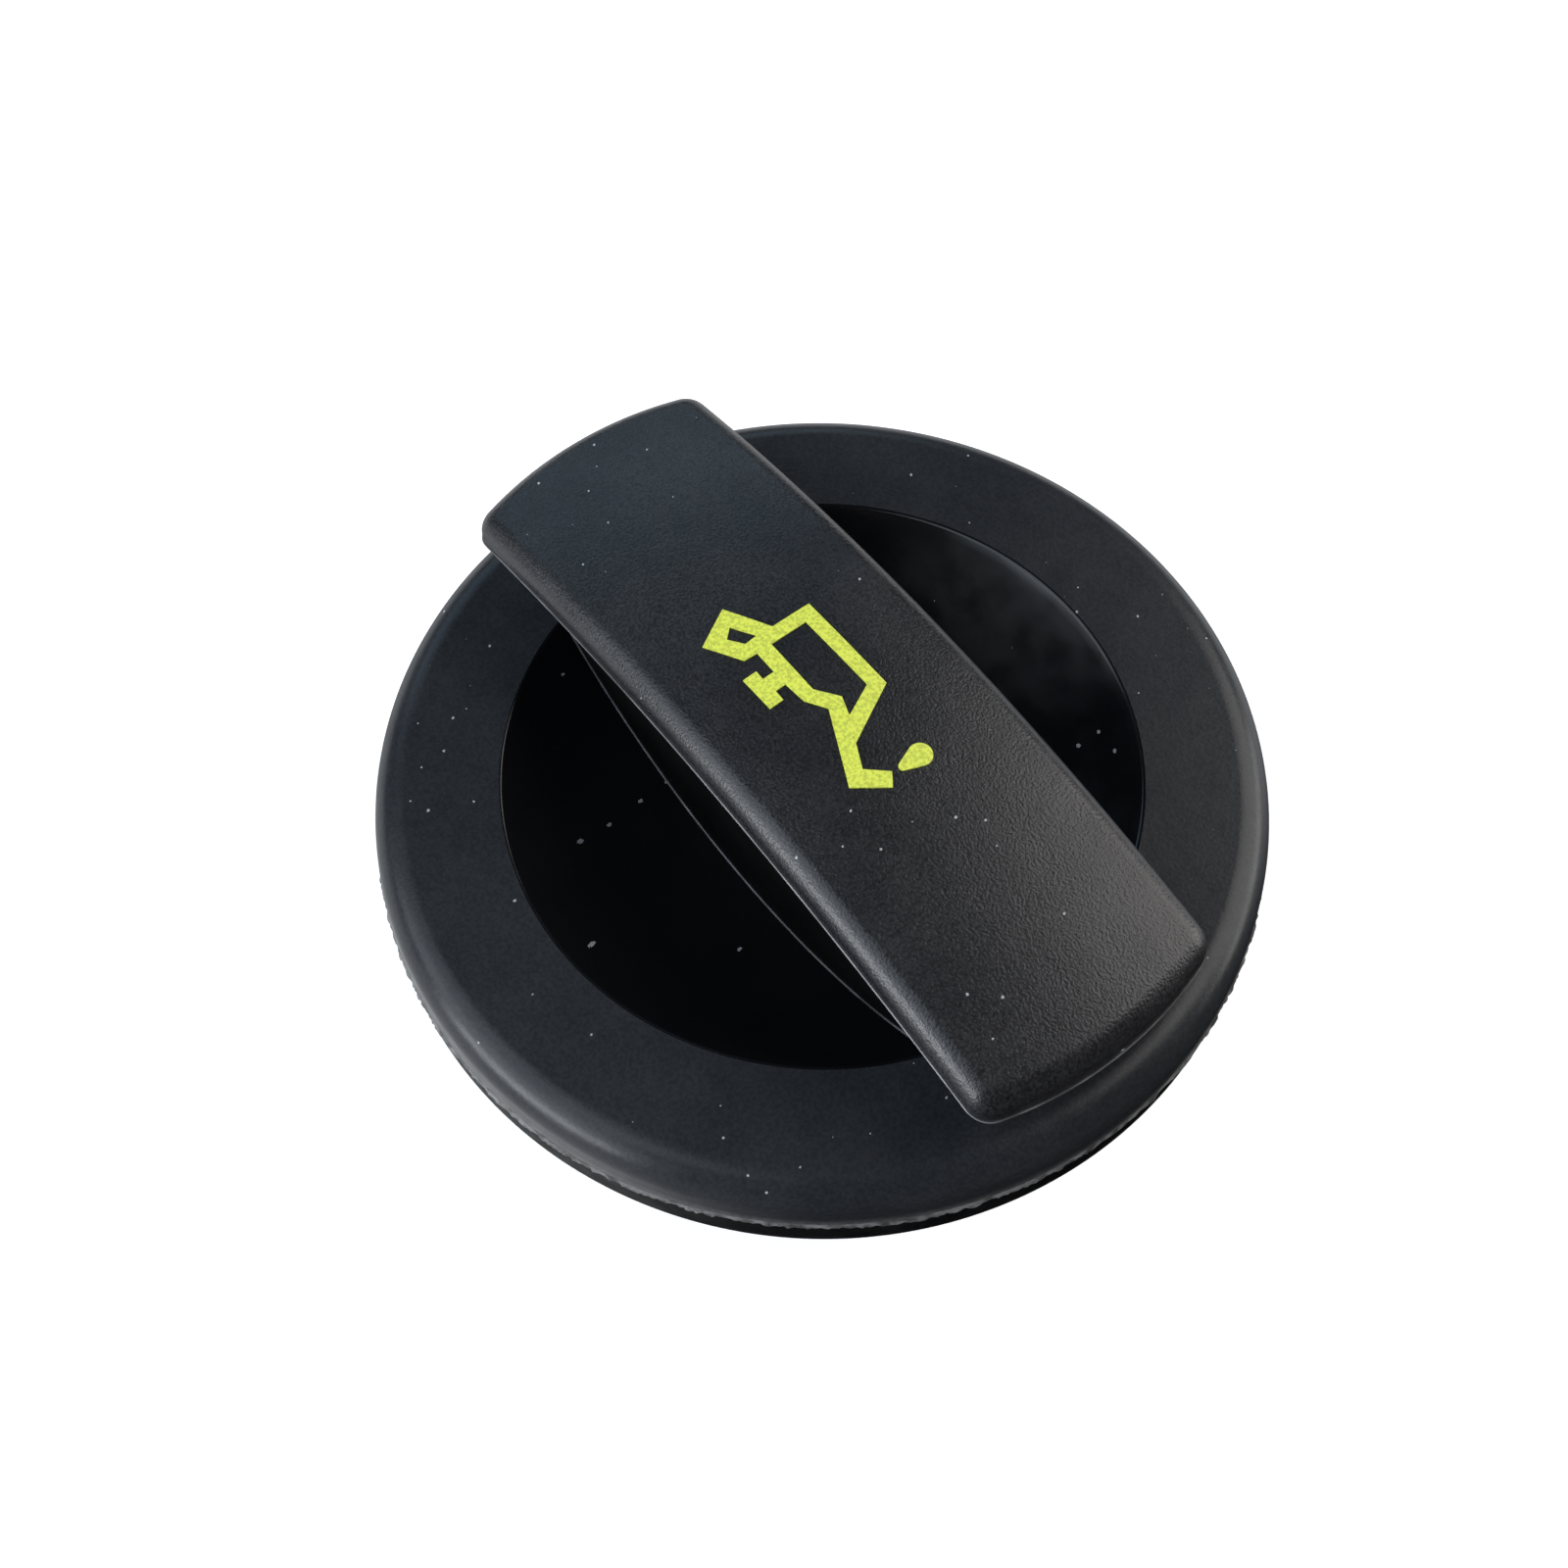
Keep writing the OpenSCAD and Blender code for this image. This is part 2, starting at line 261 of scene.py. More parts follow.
class Shape:
    """A closed mesh in millimetres, made with bmesh operators."""

    def __init__(self, name: str) -> None:
        """Starts an empty shape, which becomes the piece of that name."""
        self.name = name
        self.bm = bmesh.new()

    def draw(self, path: Path, place: Placing, closed: bool) -> None:
        """Puts a path into the shape as a chain of edges.

        Args:
            path: The path.
            place: Gives the point in space for a point of the path.
            closed: Whether the last point joins the first.
        """
        verts = [self.bm.verts.new(place(x, y)) for x, y in path.points]
        ends = verts[1:] + verts[:1] if closed else verts[1:]
        for start, end in zip(verts, ends):
            self.bm.edges.new((start, end))
        self.weld()

    def whole(self) -> list[bmesh.types.BMVert | bmesh.types.BMEdge | bmesh.types.BMFace]:
        """Lists all its points, edges and faces."""
        return self.bm.verts[:] + self.bm.edges[:] + self.bm.faces[:]

    def fill(self) -> bmesh.types.BMFace:
        """Closes the drawn loop with a face and returns it."""
        return bmesh.ops.contextual_create(self.bm, geom=self.bm.edges[:])["faces"][0]

    def weld(self) -> None:
        """Merges points that lie on each other."""
        bmesh.ops.remove_doubles(self.bm, verts=self.bm.verts, dist=WELD)

    def outward(self) -> None:
        """Turns all faces outward."""
        bmesh.ops.recalc_face_normals(self.bm, faces=self.bm.faces)

    def spin(self, axis: Vector, angle: float, steps: int) -> None:
        """Spins everything drawn so far into a surface, about an axis through the origin.

        Args:
            axis: Direction of the axis.
            angle: Angle in degrees, 360 for a closed turn.
            steps: Number of steps.
        """
        bmesh.ops.spin(
            self.bm,
            geom=self.whole(),
            cent=(0, 0, 0),
            axis=axis,
            dvec=(0, 0, 0),
            angle=math.radians(angle),
            steps=steps,
            use_merge=angle >= 360,
            use_normal_flip=False,
            use_duplicate=False,
        )
        self.weld()
        self.outward()

    @classmethod
    def turned(cls, name: str, path: Path, closed: bool, steps: int = TURN_STEPS) -> "Shape":
        """Makes a shape that is round about the cap's axis.

        Args:
            name: Name of the shape.
            path: Half section, as distances from the axis and heights.
            closed: Whether the section is a loop. Otherwise it starts and ends on the axis.
            steps: Steps of the full turn.

        Returns:
            The shape.
        """
        shape = cls(name)
        shape.draw(path, lambda x, z: (x, 0, z), closed)
        shape.spin(Z_AXIS, 360, steps)
        return shape

    @classmethod
    def prism(cls, name: str, path: Path, low: float, high: float) -> "Shape":
        """Makes an upright prism.

        Args:
            name: Name of the shape.
            path: Its plan.
            low: Height of its lower face.
            high: Height of its upper face.

        Returns:
            The shape.
        """
        shape = cls(name)
        shape.draw(path, lambda x, y: (x, y, low), True)
        grown = bmesh.ops.extrude_face_region(shape.bm, geom=[shape.fill()])["geom"]
        risen = [g for g in grown if isinstance(g, bmesh.types.BMVert)]
        bmesh.ops.translate(shape.bm, verts=risen, vec=(0, 0, high - low))
        shape.outward()
        return shape

    def slices(self, axis: Vector, reach: float, step: float) -> None:
        """Cuts the faces at even steps along an axis, so that they can follow a curve.

        Args:
            axis: Direction of the steps.
            reach: Largest distance from the middle that is cut.
            step: Distance between the cuts.
        """
        count = int(reach / step)
        for index in range(-count, count + 1):
            bmesh.ops.bisect_plane(
                self.bm,
                geom=self.whole(),
                dist=WELD,
                plane_co=axis * index * step,
                plane_no=axis,
            )

    def turn(self, angle: float) -> None:
        """Turns the shape about the cap's axis by an angle in radians."""
        turned = Matrix.Rotation(angle, 3, "Z")
        bmesh.ops.rotate(self.bm, verts=self.bm.verts, cent=(0, 0, 0), matrix=turned)

    def cut_away(self, point: Vector, normal: Vector) -> None:
        """Removes what lies beyond a plane and closes the cut.

        Args:
            point: A point of the plane.
            normal: Direction of what is removed.
        """
        cut = bmesh.ops.bisect_plane(
            self.bm,
            geom=self.whole(),
            dist=WELD,
            plane_co=point,
            plane_no=normal,
            clear_outer=True,
        )["geom_cut"]
        bmesh.ops.contextual_create(self.bm, geom=[g for g in cut if isinstance(g, bmesh.types.BMEdge)])
        self.outward()

    def bevel(self, edges: Sequence[bmesh.types.BMEdge], offset: float, segments: int) -> None:
        """Rounds edges.

        Args:
            edges: The edges.
            offset: Width of the rounding on each side.
            segments: Steps of the rounding.
        """
        bmesh.ops.bevel(
            self.bm,
            geom=edges,
            offset=offset,
            offset_type="OFFSET",
            segments=segments,
            profile=0.5,
            affect="EDGES",
            clamp_overlap=False,
            material=-1,
            loop_slide=True,
        )

    def as_object(self) -> bpy.types.Object:
        """Puts the shape into the scene as it is, in millimetres."""
        mesh = bpy.data.meshes.new(self.name)
        self.bm.to_mesh(mesh)
        made = bpy.data.objects.new(self.name, mesh)
        bpy.context.scene.collection.objects.link(made)
        return made

    def combine(self, other: "Shape", operation: Operation) -> None:
        """Joins, cuts or intersects this shape with another closed one.

        Args:
            other: The other shape.
            operation: What it does to this one.
        """
        own, tool = self.as_object(), other.as_object()
        modifier = own.modifiers.new("combine", "BOOLEAN")
        modifier.operation = operation.value
        modifier.solver = "EXACT"
        modifier.object = tool
        evaluated = own.evaluated_get(bpy.context.evaluated_depsgraph_get())
        self.bm.clear()
        self.bm.from_mesh(evaluated.to_mesh())
        evaluated.to_mesh_clear()
        for used in (own, tool):
            mesh = used.data
            bpy.data.objects.remove(used)
            bpy.data.meshes.remove(mesh)

    def finish(self, materials: Sequence[bpy.types.Material]) -> bpy.types.Object:
        """Turns the shape into a smooth piece of the scene, in metres.

        Args:
            materials: Its materials, in the order of its faces' indices.

        Returns:
            The piece.
        """
        bmesh.ops.scale(self.bm, vec=(MM, MM, MM), verts=self.bm.verts)
        piece = self.as_object()
        self.bm.free()
        for material in materials:
            piece.data.materials.append(material)
        piece.data.shade_smooth()
        piece.data.set_sharp_from_angle(angle=math.radians(SHARP_ANGLE))
        even = piece.modifiers.new("even_normals", "WEIGHTED_NORMAL")
        even.keep_sharp = True
        return piece


class Ramp(NamedTuple):
    """A range of values and what its two ends become."""

    low: float
    high: float
    at_low: float = 0.0
    at_high: float = 1.0


class Nodes:
    """Adds shader nodes to one node tree and links them."""

    def __init__(self, tree: bpy.types.NodeTree) -> None:
        """Empties the tree, which is that of a material or a world."""
        self.tree = tree
        tree.nodes.clear()

    def add(
        self, kind: str, inputs: dict[str | int, object] | None = None, **settings: object
    ) -> bpy.types.Node:
        """Adds a node.

        Args:
            kind: The node's type, without its prefix.
            inputs: Values for its inputs, by name or place. A socket is linked to the input.
            settings: Values for its properties.

        Returns:
            The node.
        """
        node = self.tree.nodes.new("ShaderNode" + kind)
        for key, value in settings.items():
            setattr(node, key, value)
        for key, value in (inputs or {}).items():
            if isinstance(value, bpy.types.NodeSocket):
                self.tree.links.new(value, node.inputs[key])
            else:
                node.inputs[key].default_value = value
        return node

    def value(self, kind: str, first: object, second: object) -> bpy.types.NodeSocket:
        """Combines two values with a Math node and returns its output."""
        return self.add("Math", {0: first, 1: second}, operation=kind).outputs[0]

    def vector(self, kind: str, *values: object) -> bpy.types.NodeSocket:
        """Combines vectors with a Vector Math node and returns its vector."""
        return self.add("VectorMath", dict(enumerate(values)), operation=kind).outputs[0]

    def length(self, vector: bpy.types.NodeSocket) -> bpy.types.NodeSocket:
        """Measures a vector and returns its length."""
        return self.add("VectorMath", {0: vector}, operation="LENGTH").outputs["Value"]

    def mix(self, factor: object, first: object, second: object) -> bpy.types.NodeSocket:
        """Mixes two colours and returns the mixed one."""
        return self.add("Mix", {0: factor, 6: first, 7: second}, data_type="RGBA").outputs[2]

    def spread(self, source: object, ramp: Ramp) -> bpy.types.NodeSocket:
        """Maps a value along a ramp, held at its ends, and returns the mapped one."""
        inputs = dict(enumerate((source, *ramp)))
        return self.add("MapRange", inputs, interpolation_type="SMOOTHSTEP").outputs[0]

    def noise(self, place: bpy.types.NodeSocket, size_mm: float, detail: float = 2.0) -> bpy.types.NodeSocket:
        """Adds noise and returns its value.

        Args:
            place: Coordinates in metres.
            size_mm: Size of its features in millimetres.
            detail: How many finer layers it has.

        Returns:
            The value, mostly between 0.3 and 0.7.
        """
        inputs = {"Vector": place, "Scale": 1 / (size_mm * MM), "Detail": detail}
        return self.add("TexNoise", inputs).outputs["Fac"]

    def bump(self, height: object, strength: float, depth_mm: float, **below: object) -> bpy.types.NodeSocket:
        """Adds a bump, on another one whose output is given as Normal, and returns its output."""
        inputs = {"Height": height, "Strength": strength, "Distance": depth_mm * MM, **below}
        return self.add("Bump", inputs).outputs[0]


class MaterialNodes(Nodes):
    """The nodes of a new material."""

    def __init__(self, name: str) -> None:
        """Starts a material of that name."""
        self.material = bpy.data.materials.new(name)
        self.material.use_nodes = True
        super().__init__(self.material.node_tree)
        self.place = self.add("TexCoord").outputs["Object"]

    def surface(self, shader: bpy.types.Node) -> bpy.types.Material:
        """Gives the material its surface and returns it."""
        self.add("OutputMaterial", {"Surface": shader.outputs[0]})
        return self.material


@dataclass(frozen=True)
class Dust:
    """White specks on a surface, thin in some places and thick in others."""

    size_mm: float
    spacing_mm: float
    share: float
    drift_mm: float = 14.0
    thin: float = 0.3
    thick: float = 1.9
    colour: Colour = (0.42, 0.42, 0.44)
    # Axis and angle in radians that tilt the specks' plane, so that steep faces have specks too
    slant_axis: tuple[float, float, float] = (1.0, 0.6, 0.0)
    slant: float = -0.6

    def mask(self, nodes: MaterialNodes) -> bpy.types.NodeSocket:
        """Draws the specks.

        Args:
            nodes: The material's nodes.

        Returns:
            1 on a speck and 0 between them.
        """
        size = self.size_mm * MM
        spacing = self.spacing_mm * MM
        slant_inputs = {"Vector": nodes.place, "Axis": self.slant_axis, "Angle": self.slant}
        slanted = nodes.add("VectorRotate", slant_inputs).outputs[0]
        wander = nodes.add("TexNoise", {"Vector": nodes.place, "Scale": 1 / size, "Detail": 1.0})
        offset = nodes.vector("SUBTRACT", wander.outputs["Color"], grey(0.5))
        bent = nodes.vector("MULTIPLY_ADD", offset, (size, size, size), slanted)
        cells = nodes.add("TexVoronoi", {"Vector": bent, "Scale": 1 / spacing}, voronoi_dimensions="2D")
        random = nodes.add("SeparateColor", {0: cells.outputs["Color"]})
        reach = nodes.value("MULTIPLY", random.outputs[1], self.size_mm / self.spacing_mm)
        near = nodes.value("LESS_THAN", cells.outputs["Distance"], reach)
        drift = Ramp(*DRIFT_RANGE, self.thin * self.share, self.thick * self.share)
        share = nodes.spread(nodes.noise(nodes.place, self.drift_mm), drift)
        chosen = nodes.value("LESS_THAN", random.outputs[0], share)
        return nodes.value("MULTIPLY", near, chosen)


@dataclass(frozen=True)
class PaleBand:
    """Paleness that grows from one height to another, patchy in its full part."""

    none_z: float
    full_z: float
    colour: Colour
    size_mm: float = 0.5
    least: float = 0.45

    def mask(self, nodes: MaterialNodes) -> bpy.types.NodeSocket:
        """Draws the paleness.

        Args:
            nodes: The material's nodes.

        Returns:
            0 where there is none, up to 1.
        """
        height = nodes.add("SeparateXYZ", {0: nodes.place}).outputs[2]
        near = nodes.spread(height, Ramp(self.none_z * MM, self.full_z * MM))
        patches = nodes.noise(nodes.place, self.size_mm, detail=3.0)
        return nodes.value("MULTIPLY", near, nodes.spread(patches, Ramp(*NOISE_RANGE, self.least)))


@dataclass(frozen=True)
class MouldedPlastic:
    """Black moulded plastic or rubber: fine grain from the mould, cloudy tone, uneven gloss and dust."""

    name: str
    colour: Colour
    cloud_colour: Colour
    cloud_mm: float
    roughness: tuple[float, float]
    grain_mm: float = 0.3
    grain_depth_mm: float = 0.02
    grain_strength: float = 0.3
    grain_contrast: float = 0.0
    specular: float = 0.5
    ior: float = 1.5
    # Band that gets paler towards a height: on the lower moulding it is a painted highlight along the rim's
    # lower edge
    pale_band: PaleBand | None = None
    wave_mm: float = 6.0
    wave_depth_mm: float = 1.0
    wave_strength: float = 0.05
    dust: Dust | None = None

    def material(self) -> bpy.types.Material:
        """Builds the finish as a node material."""
        nodes = MaterialNodes(self.name)
        clouds = nodes.spread(nodes.noise(nodes.place, self.cloud_mm, detail=4.0), Ramp(*CLOUD_RANGE))
        grain = nodes.noise(nodes.place, self.grain_mm, detail=2.5)
        colour = nodes.mix(clouds, (*self.colour, 1), (*self.cloud_colour, 1))
        if self.grain_contrast:
            contrast = Ramp(*NOISE_RANGE, 1 - self.grain_contrast, 1 + self.grain_contrast)
            shaded = {0: colour, "Scale": nodes.spread(grain, contrast)}
            colour = nodes.add("VectorMath", shaded, operation="SCALE").outputs[0]
        for cover in (self.pale_band, self.dust):
            if cover:
                colour = nodes.mix(cover.mask(nodes), colour, (*cover.colour, 1))
        smudges = nodes.noise(nodes.place, self.cloud_mm / 3, detail=5.0)
        waves = nodes.bump(nodes.noise(nodes.place, self.wave_mm), self.wave_strength, self.wave_depth_mm)
        shader_inputs = {
            "Base Color": colour,
            "Roughness": nodes.spread(smudges, Ramp(*NOISE_RANGE, *self.roughness)),
            "Normal": nodes.bump(grain, self.grain_strength, self.grain_depth_mm, Normal=waves),
            "Specular IOR Level": self.specular,
            "IOR": self.ior,
        }
        return nodes.surface(nodes.add("BsdfPrincipled", shader_inputs))


@dataclass(frozen=True)
class PrintedInk:
    """Printed ink that lets the grain below show through as fine dark pinholes."""

    name: str
    colour: Colour
    thin_colour: Colour
    bare_colour: Colour
    roughness: float = 0.5
    grain_strength: float = 0.3
    grain_depth_mm: float = 0.05
    pinhole_mm: float = 0.14
    # Noise values from which the ink gets thin, and from which it is missing
    thin_ramp: Ramp = Ramp(0.4, 0.62)
    bare_ramp: Ramp = Ramp(0.66, 0.74)

    def material(self) -> bpy.types.Material:
        """Builds the finish as a node material."""
        nodes = MaterialNodes(self.name)
        thin = nodes.spread(nodes.noise(nodes.place, self.pinhole_mm * 2, detail=3.0), self.thin_ramp)
        ink = nodes.mix(thin, (*self.colour, 1), (*self.thin_colour, 1))
        holes = nodes.spread(nodes.noise(nodes.place, self.pinhole_mm, detail=3.0), self.bare_ramp)
        grain = nodes.noise(nodes.place, self.pinhole_mm)
        shader_inputs = {
            "Base Color": nodes.mix(holes, ink, (*self.bare_colour, 1)),
            "Roughness": self.roughness,
            "Normal": nodes.bump(grain, self.grain_strength, self.grain_depth_mm),
        }
        return nodes.surface(nodes.add("BsdfPrincipled", shader_inputs))


@dataclass
class UpperMoulding:
    """The upper moulding: dish, flat ring, shoulder and rim, with the arched bar on its hollow web."""

    dish_edge_r: float = 0.5
    bar_edge_r: float = 1.8
    bar_corner_r: float = 2.2
    lip_low_edge_r: float = 0.35
    web_reach: float = 33.6
    web_corner_r: float = 3.0
    slices_end: float = 31.2
    arch_step: float = 1.2
    camber_step: float = 1.6
    collar_l: float = 3.0
    collar_t: float = 1.6
    inner_round: float = 0.8
    # Depth to which a face belongs to the dish's surface, and share of its rounded edge that is glossy
    dish_skin: float = 0.02
    gloss_share: float = 0.55
    # Depth below the flat ring from which an outer face belongs to the rim
    rim_depth: float = 2.0

    def disc(self) -> Shape:
        """Makes the round body with its collar under the dish."""
        s = SIZES
        edge_z = s.deck_z - self.dish_edge_r
        outer_r = s.dish_r + self.dish_edge_r
        edge_x = s.bowl_radius(outer_r, edge_z)
        dish_end = s.bowl_angle(outer_r, edge_x)
        under_r = s.dish_r + s.wall
        under_z = s.deck_z - s.wall
        collar_r = s.plug_bore_r - s.fit_gap
        collar_in = collar_r - self.collar_t
        collar_z = s.bowl_z(under_r, collar_r) - self.collar_l
        path = Path()
        path.arc(0, s.dish_centre_z, s.dish_r, -90, dish_end, 40)
        path.arc(edge_x, edge_z, self.dish_edge_r, dish_end + 180, 90, 8)
        path.arc(s.cap_r - s.shoulder_r, s.deck_z - s.shoulder_r, s.shoulder_r, 90, 0, 20)
        path.to(s.cap_r + s.rim_lean, s.joint_z).to(s.inner_r, s.joint_z)
        path.arc(s.inner_r - self.inner_round, under_z - self.inner_round, self.inner_round, 0, 90, 4)
        under_end = s.bowl_angle(under_r, s.bowl_radius(under_r, under_z))
        path.arc(0, s.dish_centre_z, under_r, under_end, s.bowl_angle(under_r, collar_r), 12)
        path.to(collar_r, collar_z).to(collar_in, collar_z)
        path.arc(0, s.dish_centre_z, under_r, s.bowl_angle(under_r, collar_in), -90, 14)
        return Shape.turned("upper_moulding", path, False)

    def plan(self, reach: float, half_w: float, corner_r: float) -> Path:
        """Draws the plan of a bar with parallel sides, ends on a circle round the axis and round corners.

        Args:
            reach: Radius of the ends.
            half_w: Half its width.
            corner_r: Radius of its corners.

        Returns:
            The plan.
        """
        corner_y = half_w - corner_r
        corner_x = math.sqrt((reach - corner_r) ** 2 - corner_y**2)
        lean = math.degrees(math.atan2(corner_y, corner_x))
        path = Path()
        for turn, side in ((0, 1), (180, -1)):
            path.arc(0, 0, reach, turn - lean, turn + lean, 20)
            path.arc(side * corner_x, side * corner_y, corner_r, turn + lean, turn + 90, 8)
            path.arc(-side * corner_x, side * corner_y, corner_r, turn + 90, turn + 180 - lean, 8)
        return path

    def arch(self, shape: Shape, high_z: float, top_r: float, low_r: float | None) -> None:
        """Bends a prism's upper face, and its lower one if asked, onto cylinders round the arch's axis.

        Args:
            shape: The prism.
            high_z: Height of its upper face.
            top_r: Radius of the upper cylinder.
            low_r: Radius of the lower cylinder, or None to leave the lower face flat.
        """
        shape.slices(X_AXIS, self.slices_end, self.arch_step)
        for vert in shape.bm.verts:
            radius = top_r if vert.co.z > high_z - WELD else low_r
            if radius is not None:
                vert.co.z = SIZES.arch_centre_z + math.sqrt(radius**2 - vert.co.x**2)

    def bar(self) -> Shape:
        """Makes the bar with its rounded top edge."""
        s = SIZES
        shape = Shape.prism("bar", self.plan(s.bar_reach, s.bar_half_w, self.bar_corner_r), 0, 1)
        shape.slices(Y_AXIS, s.bar_half_w - 2 * self.bar_edge_r, self.camber_step)
        self.arch(shape, 1, s.arch_r, s.arch_r - s.lip_h)
        for vert in shape.bm.verts:
            if math.hypot(vert.co.x, vert.co.z - s.arch_centre_z) > s.arch_r - s.lip_h / 2:
                vert.co.z = s.bar_top_z(vert.co.x, vert.co.y)
        shape.bm.normal_update()
        for upward, width, segments in ((1, self.bar_edge_r, 12), (-1, self.lip_low_edge_r, 3)):
            edges = [
                edge for edge in shape.bm.edges
                if sorted(abs(face.normal.z) > FLAT_NORMAL for face in edge.link_faces) == [False, True]
                and any(face.normal.z * upward > FLAT_NORMAL for face in edge.link_faces)
            ]
            shape.bevel(edges, width, segments)
        shape.outward()
        return shape

    def web(self) -> Shape:
        """Makes the web, from inside the dish's wall to inside the bar."""
        s = SIZES
        top_z = s.deck_z + s.bar_crown_h
        shape = Shape.prism("web", self.plan(self.web_reach, s.web_half_w, self.web_corner_r), 0, top_z)
        self.arch(shape, top_z, s.arch_r - s.lip_h / 2, None)
        middle_r = s.dish_r + s.wall / 2
        middle_z = s.deck_z - s.wall / 2
        middle_end = s.bowl_angle(middle_r, s.bowl_radius(middle_r, middle_z))
        path = Path().arc(0, s.dish_centre_z, middle_r, -90, middle_end, 24)
        path.to(s.cap_r, middle_z).to(s.cap_r, top_z + PAST).to(0, top_z + PAST)
        shape.combine(Shape.turned("web_room", path, False, TURN_STEPS // 2), Operation.COMMON)
        return shape

    def core(self) -> Shape:
        """Makes the hollow under the bar."""
        s = SIZES
        top_z = s.deck_z + s.bar_crown_h
        plan = self.plan(self.web_reach - s.wall, s.web_half_w - s.wall, self.web_corner_r - s.wall)
        shape = Shape.prism("core", plan, 0, top_z)
        self.arch(shape, top_z, s.arch_r - s.wall, None)
        return shape

    def zone(self, face: bmesh.types.BMFace) -> Zone:
        """Tells which finish a face has.

        Args:
            face: A face of the moulding, in millimetres.

        Returns:
            Its zone.
        """
        s = SIZES
        centre = face.calc_center_median()
        radius = math.hypot(centre.x, centre.y)
        arch_height = math.hypot(centre.x, centre.z - s.arch_centre_z)
        bowl_distance = (Z_AXIS * s.dish_centre_z - centre).length
        above_deck = centre.z > s.deck_z + WELD
        core_half_w = s.web_half_w - s.wall
        in_core = abs(centre.y) < core_half_w + WELD and arch_height < s.arch_r - s.wall + WELD
        if in_core and radius < self.web_reach - s.wall + WELD:
            return Zone.INSIDE
        if arch_height > s.arch_r - s.lip_h - WELD and (above_deck or radius < s.dish_rim_r):
            return Zone.BAR
        in_bowl = bowl_distance < s.dish_r - self.dish_skin and radius < s.dish_rim_r + self.dish_edge_r
        if above_deck or in_bowl:
            return Zone.WEB
        if bowl_distance > s.dish_r + s.wall / 2 and centre.z < s.deck_z - self.rim_depth:
            return Zone.DECK if radius > s.inner_r + WELD else Zone.INSIDE
        gloss_r = s.dish_rim_r + self.dish_edge_r * self.gloss_share
        return Zone.DISH if radius < gloss_r else Zone.DECK

    def build(self, materials: dict[Zone, bpy.types.Material]) -> bpy.types.Object:
        """Builds the moulding as one closed piece.

        Args:
            materials: The finish of each zone.

        Returns:
            The piece.
        """
        shape = self.disc()
        shape.combine(self.web(), Operation.JOIN)
        shape.combine(self.bar(), Operation.JOIN)
        shape.combine(self.core(), Operation.CUT)
        for face in shape.bm.faces:
            face.material_index = self.zone(face).value
        piece = shape.finish([materials[zone] for zone in Zone])
        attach(piece, "root")
        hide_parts("grip_cap")
        return piece


@dataclass
class JointFlash:
    """The thin ragged lip of flash that stands out of the joint between the mouldings."""

    proud: float = 0.2
    height: float = 0.55
    depth: float = 0.5
    steps: int = 900
    # Depth of its upper edge in the rim's face, and depth from which it is ragged
    sunk: float = 0.02
    ragged_from: float = 0.03
    # Shares of how far it stands out and of its height, at the lip's upper and lower corner
    upper_corner: Point = (0.5, 0.35)
    lower_corner: Point = (0.3, 0.3)
    # Notches of the outer edge: waves per millimetre and share of each kind, least share and gain
    notches: tuple[Point, Point] = ((0.45, 0.6), (1.7, 0.9))
    least: float = 0.1
    gain: float = 1.6
    # Waves per millimetre of the lower edge and their height, long ones and short ones
    sag: Point = (0.8, 0.35)
    ripple: Point = (2.6, 0.2)
    sag_shift: float = 9.0

    def section(self, face_r: float) -> Path:
        """Draws the ring's section.

        Args:
            face_r: Radius of the rim's face.

        Returns:
            The section, as distances from the axis and heights.
        """
        joint_z = SIZES.joint_z
        top_z = joint_z + self.height
        low_z = joint_z - self.height * self.lower_corner[1]
        path = Path().to(face_r - self.depth, top_z).to(face_r - self.sunk, top_z)
        path.to(face_r + self.proud * self.upper_corner[0], joint_z + self.height * self.upper_corner[1])
        path.to(face_r + self.proud, joint_z).to(face_r + self.proud * self.lower_corner[0], low_z)
        return path.to(face_r - self.depth, low_z)

    def build(self, material: bpy.types.Material) -> bpy.types.Object:
        """Builds the flash as one closed ring.

        Args:
            material: Its finish.

        Returns:
            The piece.
        """
        face_r = SIZES.cap_r + SIZES.rim_lean
        shape = Shape.turned("joint_flash", self.section(face_r), True, self.steps)
        for vert in shape.bm.verts:
            radius = math.hypot(vert.co.x, vert.co.y)
            out = max(0.0, radius - face_r + self.ragged_from)
            spot = Vector((vert.co.x, vert.co.y, 0))
            ragged = sum(share * abs(noise.noise(spot * rate)) for rate, share in self.notches) + self.least
            sag = noise.noise(spot * self.sag[0] + Z_AXIS * self.sag_shift) * self.sag[1]
            drop = sag + noise.noise(spot * self.ripple[0]) * self.ripple[1]
            scale = (radius - out * (1 - min(1.0, ragged * self.gain))) / radius
            vert.co.x *= scale
            vert.co.y *= scale
            if vert.co.z < SIZES.joint_z + self.height / 2 and out > 0:
                vert.co.z += drop
        piece = shape.finish([material])
        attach(piece, "root")
        return piece


